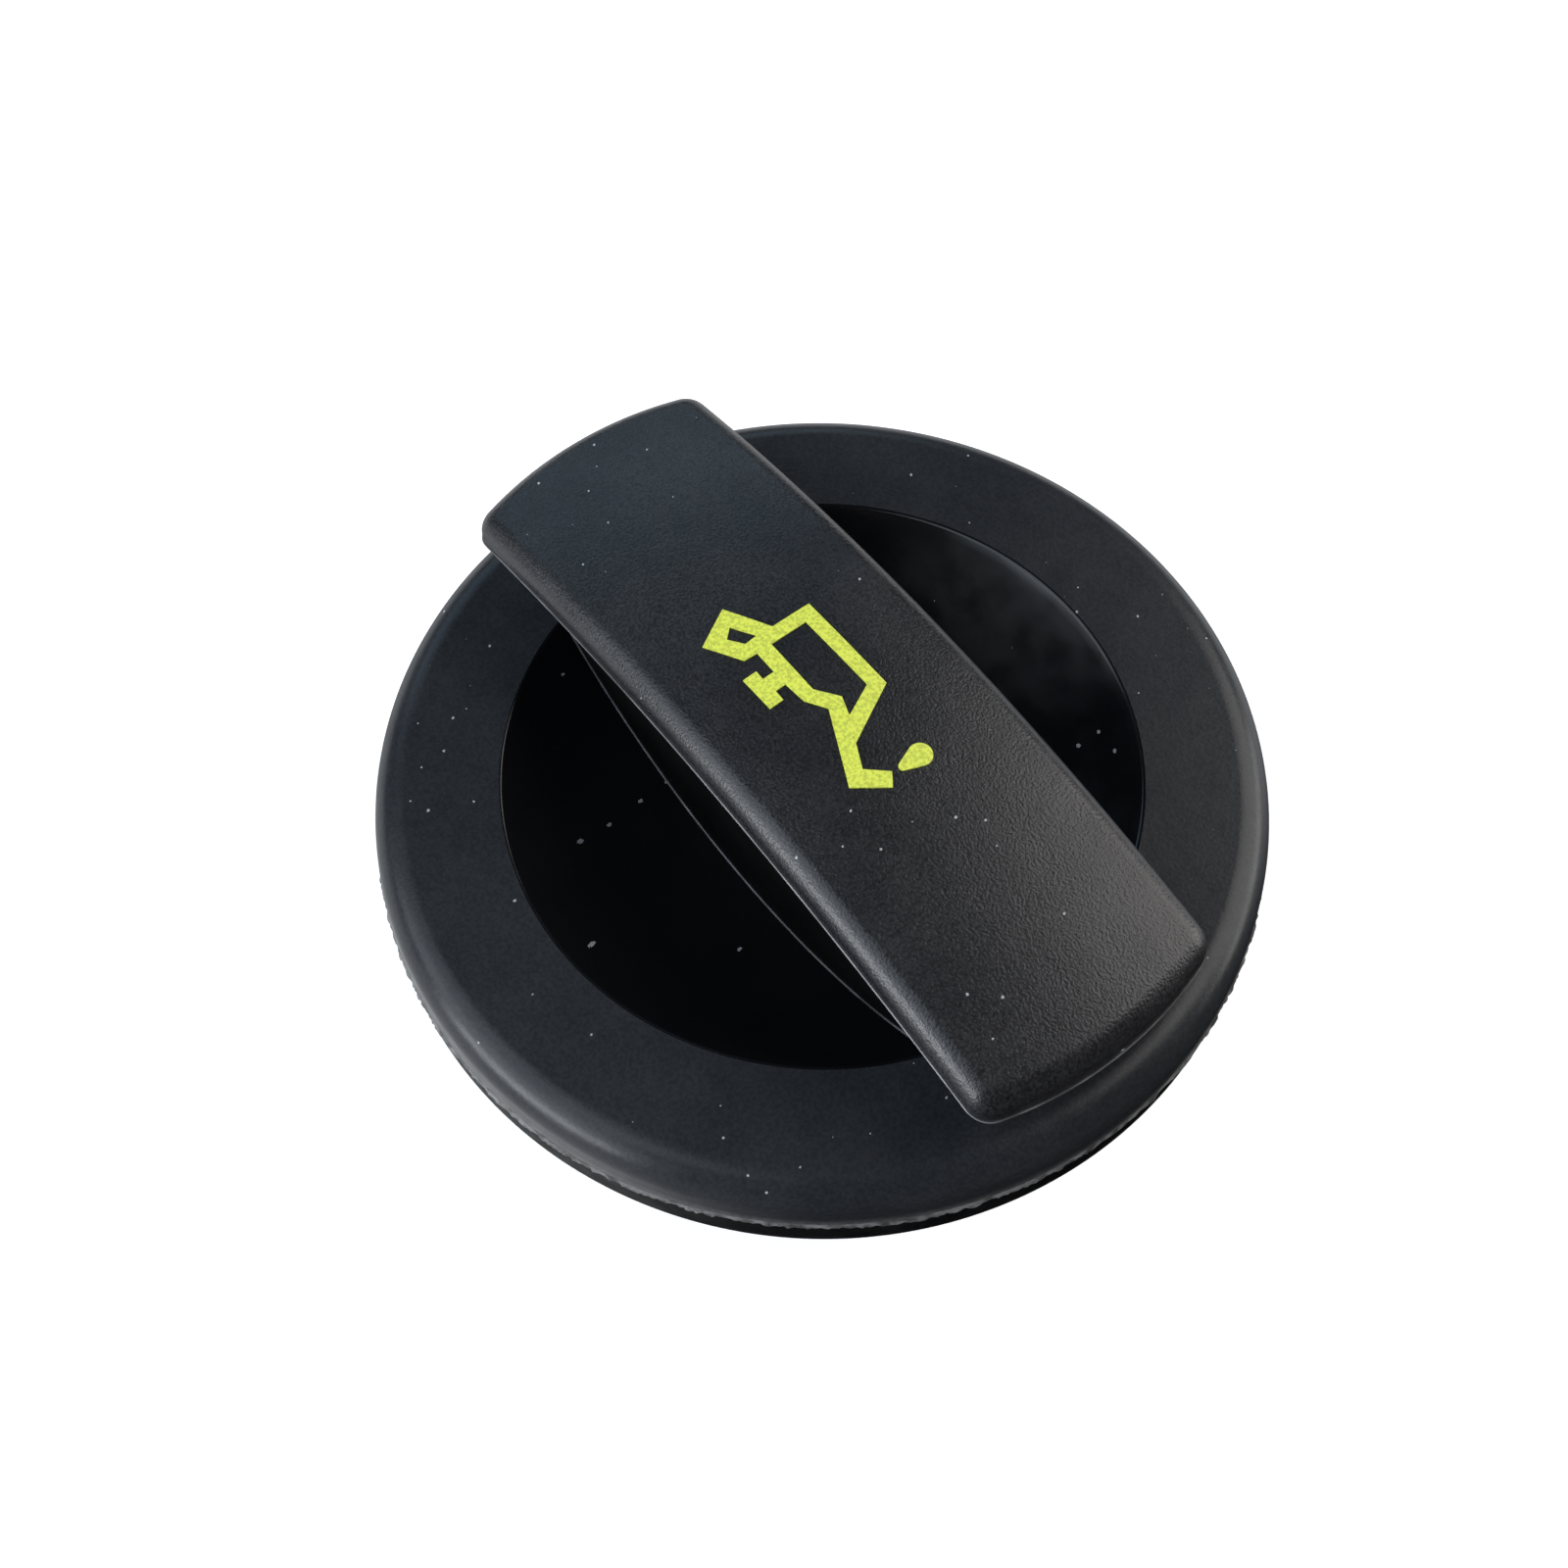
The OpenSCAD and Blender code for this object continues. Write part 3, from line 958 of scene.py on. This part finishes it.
@dataclass
class FootLine:
    """The fine pale line along the web's foot in the dish, on both sides."""

    radius: float = 0.13
    # Angle in degrees by which each line ends short of the dish's rim
    end_gap: float = 1.0
    sides: int = 8
    steps: int = 160

    def build(self, material: bpy.types.Material) -> bpy.types.Object:
        """Builds both lines as closed thin beads.

        Args:
            material: Their finish.

        Returns:
            The piece.
        """
        s = SIZES
        sweep_r = math.sqrt(s.dish_r**2 - s.web_half_w**2)
        rim_x = math.sqrt(s.dish_rim_r**2 - s.web_half_w**2)
        reach = math.degrees(math.asin(rim_x / sweep_r)) - self.end_gap
        shape = Shape("web_foot_line")
        turn = Matrix.Rotation(math.radians(reach), 4, "Y")
        for side in (-1, 1):
            bead = Shape("bead")
            round_path = Path().arc(0, -sweep_r, self.radius, 0, 360, self.sides)
            bead.draw(round_path, lambda x, z: turn @ Vector((0, side * s.web_half_w + x, z)), True)
            bead.fill()
            bead.spin(Y_AXIS, -2 * reach, self.steps)
            mesh = bpy.data.meshes.new("bead")
            bead.bm.to_mesh(mesh)
            shape.bm.from_mesh(mesh)
            bpy.data.meshes.remove(mesh)
        bmesh.ops.translate(shape.bm, verts=shape.bm.verts, vec=(0, 0, s.dish_centre_z))
        piece = shape.finish([material])
        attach(piece, "root")
        return piece


@dataclass
class LipHighlightBead:
    """A fine bead along the bar's lower edge, all round, whose pale colour is a painted highlight."""

    radius: float = 0.11
    rise: float = 0.2
    step: float = 1.2

    def build(self, outline: Path, material: bpy.types.Material) -> bpy.types.Object:
        """Builds the line as one closed thin bead.

        Args:
            outline: The bar's plan.
            material: Its finish.

        Returns:
            The piece.
        """
        s = SIZES
        points = outline.fine(self.step)
        curve = bpy.data.curves.new("lip", "CURVE")
        curve.dimensions = "3D"
        curve.bevel_depth = self.radius
        curve.bevel_resolution = 1
        line = curve.splines.new("POLY")
        line.points.add(len(points) - 1)
        line.use_cyclic_u = True
        for point, (x, y) in zip(line.points, points):
            point.co = (x, y, s.arch_centre_z + math.sqrt((s.arch_r - s.lip_h) ** 2 - x**2) + self.rise, 1)
        drawn = bpy.data.objects.new("lip", curve)
        shape = Shape("bar_lip_highlight")
        shape.bm.from_mesh(drawn.to_mesh())
        drawn.to_mesh_clear()
        bpy.data.objects.remove(drawn)
        bpy.data.curves.remove(curve)
        shape.outward()
        piece = shape.finish([material])
        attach(piece, "root")
        return piece


@dataclass
class PrintedCan:
    """The printed oil can and the drop that falls from its spout: a skin of ink that follows the bar's top.

    The figure's points are millimetres to the right and up, with the can upright and its spout to the right.
    """

    outline: tuple[Point, ...] = (
        (-10.8, 2), (-8.9, 5.4), (-5.7, 3.6), (-5.6, 2.4), (-3.4, 2.4), (-3.4, 3.5), (-4.3, 3.5), (-4.3, 4.8),
        (-0.9, 4.7), (-0.9, 3.4), (-1.9, 3.4), (-1.9, 2.4), (0.2, 2.2), (1.9, 1.1), (8.3, 4.1), (10.3, 1.4),
        (9.2, 0.6), (7.7, 2.3), (5.6, 1.3), (2.8, -4), (-6.9, -3.8), (-6.9, -0.1),
    )
    window: tuple[Point, ...] = ((-5.6, -2.5), (2, -2.7), (3.4, 0.2), (1.7, -0.4), (-0.2, 1), (-5.6, 1))
    loop: tuple[Point, ...] = ((-9, 2.6), (-7, 1.4), (-6.9, 2.6), (-8.2, 3.5))
    drop_x: float = 9.35
    drop_y: float = -2.1
    drop_r: float = 1.0
    drop_tip_y: float = -0.38
    drop_tip_r: float = 0.38
    ink_t: float = 0.12
    sunk: float = 0.03
    slices_end: float = 12.0
    slices_step: float = 1.0

    def figure(self, name: str, points: Sequence[Point], past: float) -> Shape:
        """Makes an upright block with the plan of a part of the figure.

        Args:
            name: Name of the block.
            points: The plan.
            past: How far the block reaches past the heights 0 and 1.

        Returns:
            The block.
        """
        path = Path()
        for x, y in points:
            path.to(x, -y)
        return Shape.prism(name, path, -past, 1 + past)

    def drop(self) -> Shape:
        """Makes the drop: a round end, a small round tip and straight flanks that touch both."""
        lean = math.degrees(math.asin((self.drop_r - self.drop_tip_r) / (self.drop_tip_y - self.drop_y)))
        path = Path().arc(self.drop_x, -self.drop_y, self.drop_r, -lean, 180 + lean, 24)
        path.arc(self.drop_x, -self.drop_tip_y, self.drop_tip_r, 180 + lean, 360 - lean, 12)
        return Shape.prism("drop", path, 0, 1)

    def build(self, material: bpy.types.Material) -> bpy.types.Object:
        """Builds the ink as closed skins on the bar.

        Args:
            material: Its finish.

        Returns:
            The piece.
        """
        shape = self.figure("oil_can_ink", self.outline, 0)
        shape.combine(self.figure("window", self.window, PAST), Operation.CUT)
        shape.combine(self.figure("loop", self.loop, PAST), Operation.CUT)
        shape.combine(self.drop(), Operation.JOIN)
        for axis in (X_AXIS, Y_AXIS):
            shape.slices(axis, self.slices_end, self.slices_step)
        for vert in shape.bm.verts:
            rise = self.ink_t if vert.co.z > 0.5 else -self.sunk
            vert.co.z = SIZES.bar_top_z(vert.co.x, vert.co.y) + rise
        shape.outward()
        piece = shape.finish([material])
        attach(piece, "root")
        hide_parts("oil_can_print")
        return piece


@dataclass
class LowerMoulding:
    """The lower moulding: rim, flange plate, spigot and the plug with its two bayonet lugs."""

    rim_step: float = 0.1
    rim_edge_r: float = 0.7
    spigot_h: float = 1.8
    spigot_t: float = 1.4
    nose_chamfer: float = 1.0
    seal_seat: float = 0.4
    lug_reach: float = 4.5
    lug_h: float = 3.5
    lug_arc: float = 54.0
    lead_fall: float = 1.2
    lead_l: float = 7.0
    stop_h: float = 1.8
    stop_w: float = 2.2
    stop_inset: float = 0.3
    stop_rise: float = 0.1
    neck_lip_t: float = 3.0
    seal_squeeze: float = 0.6
    lug_edge_r: float = 0.35

    def body(self) -> Shape:
        """Makes the round body without the lugs."""
        s = SIZES
        rim_r = s.cap_r + s.rim_lean - self.rim_step
        plate_top = s.plate_low_z + s.wall
        bowl_r = s.dish_r + s.wall + s.fit_gap
        spigot_r = s.cap_r - s.wall - s.fit_gap
        path = Path().to(s.plug_bore_r, 0).to(s.plug_r - self.nose_chamfer, 0).to(s.plug_r, self.nose_chamfer)
        path.to(s.plug_r, s.seal_low_z).to(s.plug_r - self.seal_seat, s.seal_low_z)
        path.to(s.plug_r - self.seal_seat, s.plate_low_z).to(s.inner_r, s.plate_low_z).to(s.inner_r, s.plug_l)
        path.arc(rim_r - self.rim_edge_r, s.plug_l + self.rim_edge_r, self.rim_edge_r, -90, 0, 8)
        path.to(rim_r, s.joint_z).to(s.inner_r, s.joint_z).to(s.inner_r, plate_top).to(spigot_r, plate_top)
        path.to(spigot_r, s.joint_z + self.spigot_h).to(spigot_r - self.spigot_t, s.joint_z + self.spigot_h)
        path.to(spigot_r - self.spigot_t, plate_top)
        bowl_start = s.bowl_angle(bowl_r, s.bowl_radius(bowl_r, plate_top))
        path.arc(0, s.dish_centre_z, bowl_r, bowl_start, s.bowl_angle(bowl_r, s.plug_bore_r), 6)
        return Shape.turned("lower_moulding", path, True)

    def lug(self) -> Shape:
        """Makes one lug, centred on +X, with its lead-in, its stop and rounded outer edges."""
        s = SIZES
        top = s.seal_low_z + self.seal_squeeze - self.neck_lip_t
        low = top - self.lug_h
        inside = s.plug_r - s.plug_wall / 2
        outside = s.plug_r + self.lug_reach
        half = math.radians(self.lug_arc / 2)
        section = Path().to(inside, low).to(outside, low).to(outside, top).to(inside, top)
        shape = Shape("lug")
        shape.draw(section, lambda x, z: (x * math.cos(half), -x * math.sin(half), z), True)
        shape.fill()
        shape.spin(Z_AXIS, self.lug_arc, 24)
        turn = Matrix.Rotation(-half, 3, "Z")
        slope = Vector((0, -self.lead_fall, self.lead_l)).normalized()
        shape.cut_away(turn @ Vector((0, self.lead_l, top)), turn @ slope)
        edges = [
            edge for edge in shape.bm.edges
            if edge.calc_face_angle(0) > math.radians(SHARP_ANGLE)
            and max(math.hypot(vert.co.x, vert.co.y) for vert in edge.verts) > s.plug_r
        ]
        shape.bevel(edges, self.lug_edge_r, 3)
        shape.outward()
        stop_end = outside - self.nose_chamfer
        stop_y = -self.stop_w - self.stop_inset
        stop = Path().to(inside, stop_y).to(stop_end, stop_y)
        stop.to(stop_end, -self.stop_inset).to(inside, -self.stop_inset)
        block = Shape.prism("stop", stop, low + self.stop_rise, top + self.stop_h)
        block.turn(half)
        shape.combine(block, Operation.JOIN)
        return shape

    def build(self, material: bpy.types.Material) -> bpy.types.Object:
        """Builds the moulding as one closed piece.

        Args:
            material: Its finish.

        Returns:
            The piece.
        """
        shape = self.body()
        for turn in (0, math.pi):
            lug = self.lug()
            lug.turn(turn)
            shape.combine(lug, Operation.JOIN)
        piece = shape.finish([material])
        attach(piece, "root")
        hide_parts("bayonet_plug")
        return piece


@dataclass
class SealingRing:
    """The rubber sealing ring under the flange plate."""

    outer_r: float = 27.0
    edge_r: float = 1.1
    bore_r: float = 20.7

    def build(self, material: bpy.types.Material) -> bpy.types.Object:
        """Builds the ring.

        Args:
            material: Its finish.

        Returns:
            The piece.
        """
        s = SIZES
        corner_r = self.outer_r - self.edge_r
        path = Path().to(self.bore_r, s.plate_low_z).to(self.bore_r, s.seal_low_z)
        path.arc(corner_r, s.seal_low_z + self.edge_r, self.edge_r, -90, 0, 8)
        path.arc(corner_r, s.plate_low_z - self.edge_r, self.edge_r, 0, 90, 8)
        piece = Shape.turned("sealing_ring_rubber", path, True).finish([material])
        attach(piece, "root")
        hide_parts("sealing_ring")
        return piece


@dataclass(frozen=True)
class Lamp:
    """A soft lamp that faces the cap. Its angles are in degrees and its lengths in metres."""

    name: str
    # Direction from the cap to the lamp, from +X towards +Y, and its elevation
    turn: float
    rise: float
    # Width and height
    size: tuple[float, float]
    # Brightness of its face, where 1 is white
    level: float
    colour: Colour
    distance: float = 1.0

    def hang(self) -> None:
        """Puts the lamp into the scene."""
        data = bpy.data.lights.new(self.name, "AREA")
        data.shape = "RECTANGLE"
        data.size, data.size_y = self.size
        data.energy = self.level * math.pi * self.size[0] * self.size[1]
        data.color = self.colour
        turn, rise = math.radians(self.turn), math.radians(self.rise)
        across = math.cos(rise)
        direction = Vector((across * math.cos(turn), across * math.sin(turn), math.sin(rise)))
        lamp = bpy.data.objects.new(self.name, data)
        lamp.location = Vector((0, 0, SIZES.deck_z * MM)) + direction * self.distance
        lamp.rotation_mode = "QUATERNION"
        lamp.rotation_quaternion = direction.to_track_quat("Z", "Y")
        lamp.visible_camera = False
        bpy.context.scene.collection.objects.link(lamp)


@dataclass(frozen=True)
class DarkRoom:
    """A painted reflection: the glowing dark room that the gloss mirrors, with a bright table in it whose
    light and shade are painted. Lengths in metres.

    Only mirror rays see the room, so it neither lights nor hides anything.
    """

    # The table starts round the cap, runs flat for a while and rises a little towards the wall
    table_start: Point = (0.0385, 0.0008)
    table_bend: Point = (0.075, 0.001)
    wall_r: float = 1.8
    wall_z: float = 0.03
    colour: Colour = (0.95, 0.97, 1.0)
    # Painted light and shade of the table: it goes dark towards +X. Close to the cap it is brightest towards
    # -Y
    aside: Ramp = Ramp(0.2, 0.8, 1.0, 0.03)
    close: Ramp = Ramp(-0.95, -0.2, 0.85, 0.25)
    # Distance from the axis over which it reaches the even level that it has farther out
    farther: Ramp = Ramp(0.06, 0.09)
    far_level: float = 0.95
    # Brightness of the wall above it, and the height over which it gives way to that
    wall_level: float = 0.01
    fade: float = 0.005

    def material(self) -> bpy.types.Material:
        """Builds the glow of table and wall."""
        nodes = MaterialNodes("dark_room")
        part = nodes.add("SeparateXYZ", {0: nodes.place}).outputs
        radius = nodes.length(nodes.vector("MULTIPLY", nodes.place, (1, 1, 0)))
        aside = nodes.spread(nodes.value("DIVIDE", part[0], radius), self.aside)
        close = nodes.spread(nodes.value("DIVIDE", part[1], radius), self.close)
        even = nodes.mix(nodes.spread(radius, self.farther), close, (*grey(self.far_level), 1))
        table = nodes.value("MULTIPLY", aside, even)
        rise = Ramp(self.wall_z, self.wall_z + self.fade, 1.0, self.wall_level)
        level = nodes.value("MULTIPLY", table, nodes.spread(part[2], rise))
        made = nodes.surface(nodes.add("Emission", {"Color": (*self.colour, 1), "Strength": level}))
        made.cycles.emission_sampling = "NONE"
        return made

    def build(self) -> None:
        """Hangs the room round the cap."""
        path = Path().to(*self.table_start).to(*self.table_bend).to(self.wall_r, self.wall_z)
        path.arc(0, self.wall_z, self.wall_r, 0, 90, 12)
        room = Shape.turned("dark_room", path, False, 96).as_object()
        room.data.materials.append(self.material())
        for rays in ("camera", "diffuse", "transmission", "volume_scatter", "shadow"):
            setattr(room, "visible_" + rays, False)


@dataclass(frozen=True)
class Studio:
    """Pale floor, background, lamps and the room that gloss mirrors. Lengths in metres."""

    lamps: Sequence[Lamp]
    room: DarkRoom
    floor_half: float = 4.0
    floor_colour: Colour = grey(0.88)
    floor_cloud_colour: Colour = grey(0.88 * 0.985)
    floor_cloud_mm: float = 900.0
    floor_roughness: float = 0.9
    floor_specular: float = 0.1
    # How far the floor is lifted towards white where it is seen, by the distance from the cap
    floor_lift: Ramp = Ramp(0.25, 1.2, 0.6, 1.0)
    background: Colour = grey(1.0)
    ambient: float = 0.02
    ambient_colour: Colour = (1.0, 0.995, 0.985)

    def seen(self, nodes: Nodes) -> bpy.types.NodeSocket:
        """Tells 1 for rays from the camera, from gloss and through clear things, and 0 for others.

        Args:
            nodes: The nodes of a material or of the world.

        Returns:
            The value.
        """
        ray = nodes.add("LightPath").outputs
        direct = nodes.value("MAXIMUM", ray["Is Camera Ray"], ray["Is Glossy Ray"])
        return nodes.value("MAXIMUM", direct, ray["Is Transmission Ray"])

    def floor(self) -> None:
        """Lays the floor, which is clear from below so that the underside can be looked at."""
        shape = Shape("floor")
        bmesh.ops.create_grid(shape.bm, x_segments=8, y_segments=8, size=self.floor_half)
        floor = shape.as_object()
        nodes = MaterialNodes("floor")
        clouds = nodes.noise(nodes.place, self.floor_cloud_mm)
        paper_inputs = {
            "Base Color": nodes.mix(clouds, (*self.floor_colour, 1), (*self.floor_cloud_colour, 1)),
            "Roughness": self.floor_roughness,
            "Specular IOR Level": self.floor_specular,
        }
        paper = nodes.add("BsdfPrincipled", paper_inputs)
        lift = nodes.spread(nodes.length(nodes.place), self.floor_lift)
        glow = nodes.add("Emission", {"Strength": nodes.value("MULTIPLY", self.seen(nodes), lift)})
        bright = nodes.add("AddShader", {0: paper.outputs[0], 1: glow.outputs[0]})
        clear = nodes.add("BsdfTransparent")
        below = nodes.add("NewGeometry").outputs["Backfacing"]
        surface = nodes.add("MixShader", {0: below, 1: bright.outputs[0], 2: clear.outputs[0]})
        floor.data.materials.append(nodes.surface(surface))

    def world(self) -> None:
        """Sets the pale background, and the plain light from all round that it leaves to matt surfaces."""
        world = bpy.data.worlds.new("studio")
        world.use_nodes = True
        nodes = Nodes(world.node_tree)
        pale = nodes.add("Background", {"Color": (*self.background, 1), "Strength": 1.0})
        light = nodes.add("Background", {"Color": (*self.ambient_colour, 1), "Strength": self.ambient})
        both = nodes.add("MixShader", {0: self.seen(nodes), 1: light.outputs[0], 2: pale.outputs[0]})
        nodes.add("OutputWorld", {"Surface": both.outputs[0]})
        bpy.context.scene.world = world

    def build(self) -> None:
        """Sets up everything round the cap."""
        self.floor()
        self.room.build()
        self.world()
        for lamp in self.lamps:
            lamp.hang()


@dataclass(frozen=True)
class PhotoCamera:
    """The photograph's camera, as fitted to it. Angles in degrees, lengths in millimetres."""

    azimuth: float = 50.4016
    elevation: float = 60.7848
    yaw: float = -1.0657
    pitch: float = 0.5730
    roll: float = -1.7704
    distance: float = 170.0
    lens: float = 46.28
    sensor: float = 36.0

    def build(self) -> None:
        """Places the camera and makes it the scene's."""
        turn, rise = math.radians(self.azimuth), math.radians(self.elevation)
        back = Vector((math.sin(turn) * math.cos(rise), -math.cos(turn) * math.cos(rise), math.sin(rise)))
        right = Vector((math.cos(turn), math.sin(turn), 0))
        up = back.cross(right)
        facing = Matrix((right, up, back))
        for axis, angle in (("Y", self.yaw), ("X", self.pitch), ("Z", self.roll)):
            facing = Matrix.Rotation(math.radians(angle), 3, axis) @ facing
        data = bpy.data.cameras.new("photo_camera")
        data.lens = self.lens
        data.sensor_width = self.sensor
        data.clip_start = 0.01
        camera = bpy.data.objects.new("photo_camera", data)
        place = Matrix.Translation(back * self.distance * MM + Vector((0, 0, SIZES.deck_z * MM)))
        camera.matrix_world = place @ facing.transposed().to_4x4()
        bpy.context.scene.collection.objects.link(camera)
        bpy.context.scene.camera = camera


FINE_DUST = Dust(size_mm=0.12, spacing_mm=1.8, share=0.09)

BAR_GRAIN = MouldedPlastic(
    name="bar_grain", colour=(0.012, 0.0125, 0.015), cloud_colour=(0.019, 0.019, 0.021), cloud_mm=9.0,
    roughness=(0.28, 0.33), grain_mm=0.22, grain_depth_mm=0.05, grain_strength=1.0, grain_contrast=0.6,
    dust=FINE_DUST,
)
DECK_SATIN = MouldedPlastic(
    name="deck_satin", colour=(0.019, 0.021, 0.025), cloud_colour=(0.023, 0.025, 0.029), cloud_mm=7.0,
    roughness=(0.28, 0.33), grain_depth_mm=0.03, grain_strength=0.4, grain_contrast=0.2, specular=0.32,
    # Paler towards the joint
    pale_band=PaleBand(SIZES.joint_z + 1.7, SIZES.joint_z + 0.4, grey(0.10)), dust=FINE_DUST,
)
DISH_GLOSS = MouldedPlastic(
    name="dish_gloss", colour=(0.0042, 0.0046, 0.0062), cloud_colour=(0.0052, 0.0056, 0.0070), cloud_mm=8.0,
    roughness=(0.16, 0.22), grain_depth_mm=0.01, grain_strength=0.1, wave_strength=0.015,
    dust=Dust(size_mm=0.2, spacing_mm=2.6, share=0.14),
)
WEB_GLOSS = MouldedPlastic(
    name="web_gloss", colour=grey(0.002), cloud_colour=grey(0.003), cloud_mm=6.0,
    roughness=(0.46, 0.54), grain_mm=0.25, grain_strength=0.2, specular=0.12,
)
INSIDE_SATIN = MouldedPlastic(
    name="inside_satin", colour=grey(0.012), cloud_colour=grey(0.016), cloud_mm=6.0,
    roughness=(0.38, 0.52), grain_mm=0.25, grain_depth_mm=0.03,
)
# Painted shade: near-black and with almost no gloss (IOR 1.12), so the lower rim stays as dark as the shade
# under the joint
PLUG_SHADED_SATIN = MouldedPlastic(
    name="plug_shaded_satin", colour=(0.004, 0.004, 0.0045), cloud_colour=grey(0.008), cloud_mm=5.0,
    roughness=(0.40, 0.50), grain_depth_mm=0.04, grain_strength=0.4, ior=1.12,
    # Painted highlight: paler towards the rim's lower edge, and below it
    pale_band=PaleBand(SIZES.plug_l + 0.9, SIZES.plug_l + 0.1, grey(0.09), 0.7),
    dust=Dust(size_mm=0.15, spacing_mm=3.5, share=0.1),
)
FLASH_EDGE = MouldedPlastic(
    name="flash_edge", colour=grey(0.05), cloud_colour=grey(0.19), cloud_mm=1.2,
    roughness=(0.35, 0.6), grain_mm=0.2, grain_depth_mm=0.06, grain_strength=0.6,
)
FOOT_LINE_PALE = MouldedPlastic(
    name="foot_line_pale", colour=(0.06, 0.06, 0.064), cloud_colour=(0.16, 0.16, 0.17), cloud_mm=3.0,
    roughness=(0.3, 0.45),
)
# Painted highlight: the pale colour of the bead along the bar's lower edge
LIP_PAINTED_HIGHLIGHT = MouldedPlastic(
    name="lip_painted_highlight", colour=(0.07, 0.07, 0.072), cloud_colour=(0.17, 0.17, 0.175), cloud_mm=4.0,
    roughness=(0.3, 0.45),
)
SEAL_RUBBER = MouldedPlastic(
    name="seal_rubber", colour=grey(0.010), cloud_colour=grey(0.016), cloud_mm=4.0,
    roughness=(0.55, 0.75), grain_mm=0.12,
    dust=Dust(size_mm=0.12, spacing_mm=2.0, share=0.12),
)
YELLOW_INK = PrintedInk(
    name="yellow_ink", colour=(0.84, 0.92, 0.11), thin_colour=(0.60, 0.68, 0.08),
    bare_colour=(0.12, 0.13, 0.03),
)
UPPER_FINISHES = {
    Zone.BAR: BAR_GRAIN,
    Zone.WEB: WEB_GLOSS,
    Zone.DISH: DISH_GLOSS,
    Zone.DECK: DECK_SATIN,
    Zone.INSIDE: INSIDE_SATIN,
}

LAMPS = (
    Lamp("window", -95, 10, (0.66, 0.30), 9.6, (0.92, 0.95, 1.0)),
    Lamp("window_glow", -106, 29, (1.10, 0.40), 2.9, (0.86, 0.92, 1.0)),
    Lamp("window_top", -114, 56, (0.85, 0.70), 1.9, (0.80, 0.90, 1.0)),
    Lamp("far_window", 66, 10, (0.70, 0.30), 4.3, (1.0, 0.99, 0.97)),
    Lamp("far_glow", 75, 42, (0.85, 0.78), 3.1, (1.0, 0.96, 0.93)),
    Lamp("sky", 163, 30, (0.95, 0.40), 1.1, (0.55, 0.80, 1.0)),
)


def main() -> None:
    """Builds the cap and its studio."""
    logging.basicConfig(level=logging.INFO, format="%(message)s")
    bpy.context.scene.view_settings.view_transform = "Standard"
    PhotoCamera().build()
    Studio(LAMPS, DarkRoom()).build()
    upper = UpperMoulding()
    outline = upper.plan(SIZES.bar_reach, SIZES.bar_half_w, upper.bar_corner_r)
    pieces = [
        upper.build({zone: finish.material() for zone, finish in UPPER_FINISHES.items()}),
        LipHighlightBead().build(outline, LIP_PAINTED_HIGHLIGHT.material()),
        JointFlash().build(FLASH_EDGE.material()),
        FootLine().build(FOOT_LINE_PALE.material()),
        LowerMoulding().build(PLUG_SHADED_SATIN.material()),
        SealingRing().build(SEAL_RUBBER.material()),
        PrintedCan().build(YELLOW_INK.material()),
    ]
    for piece in pieces:
        log.info("%s: %d faces", piece.name, len(piece.data.polygons))


if __name__ == "__main__":
    main()
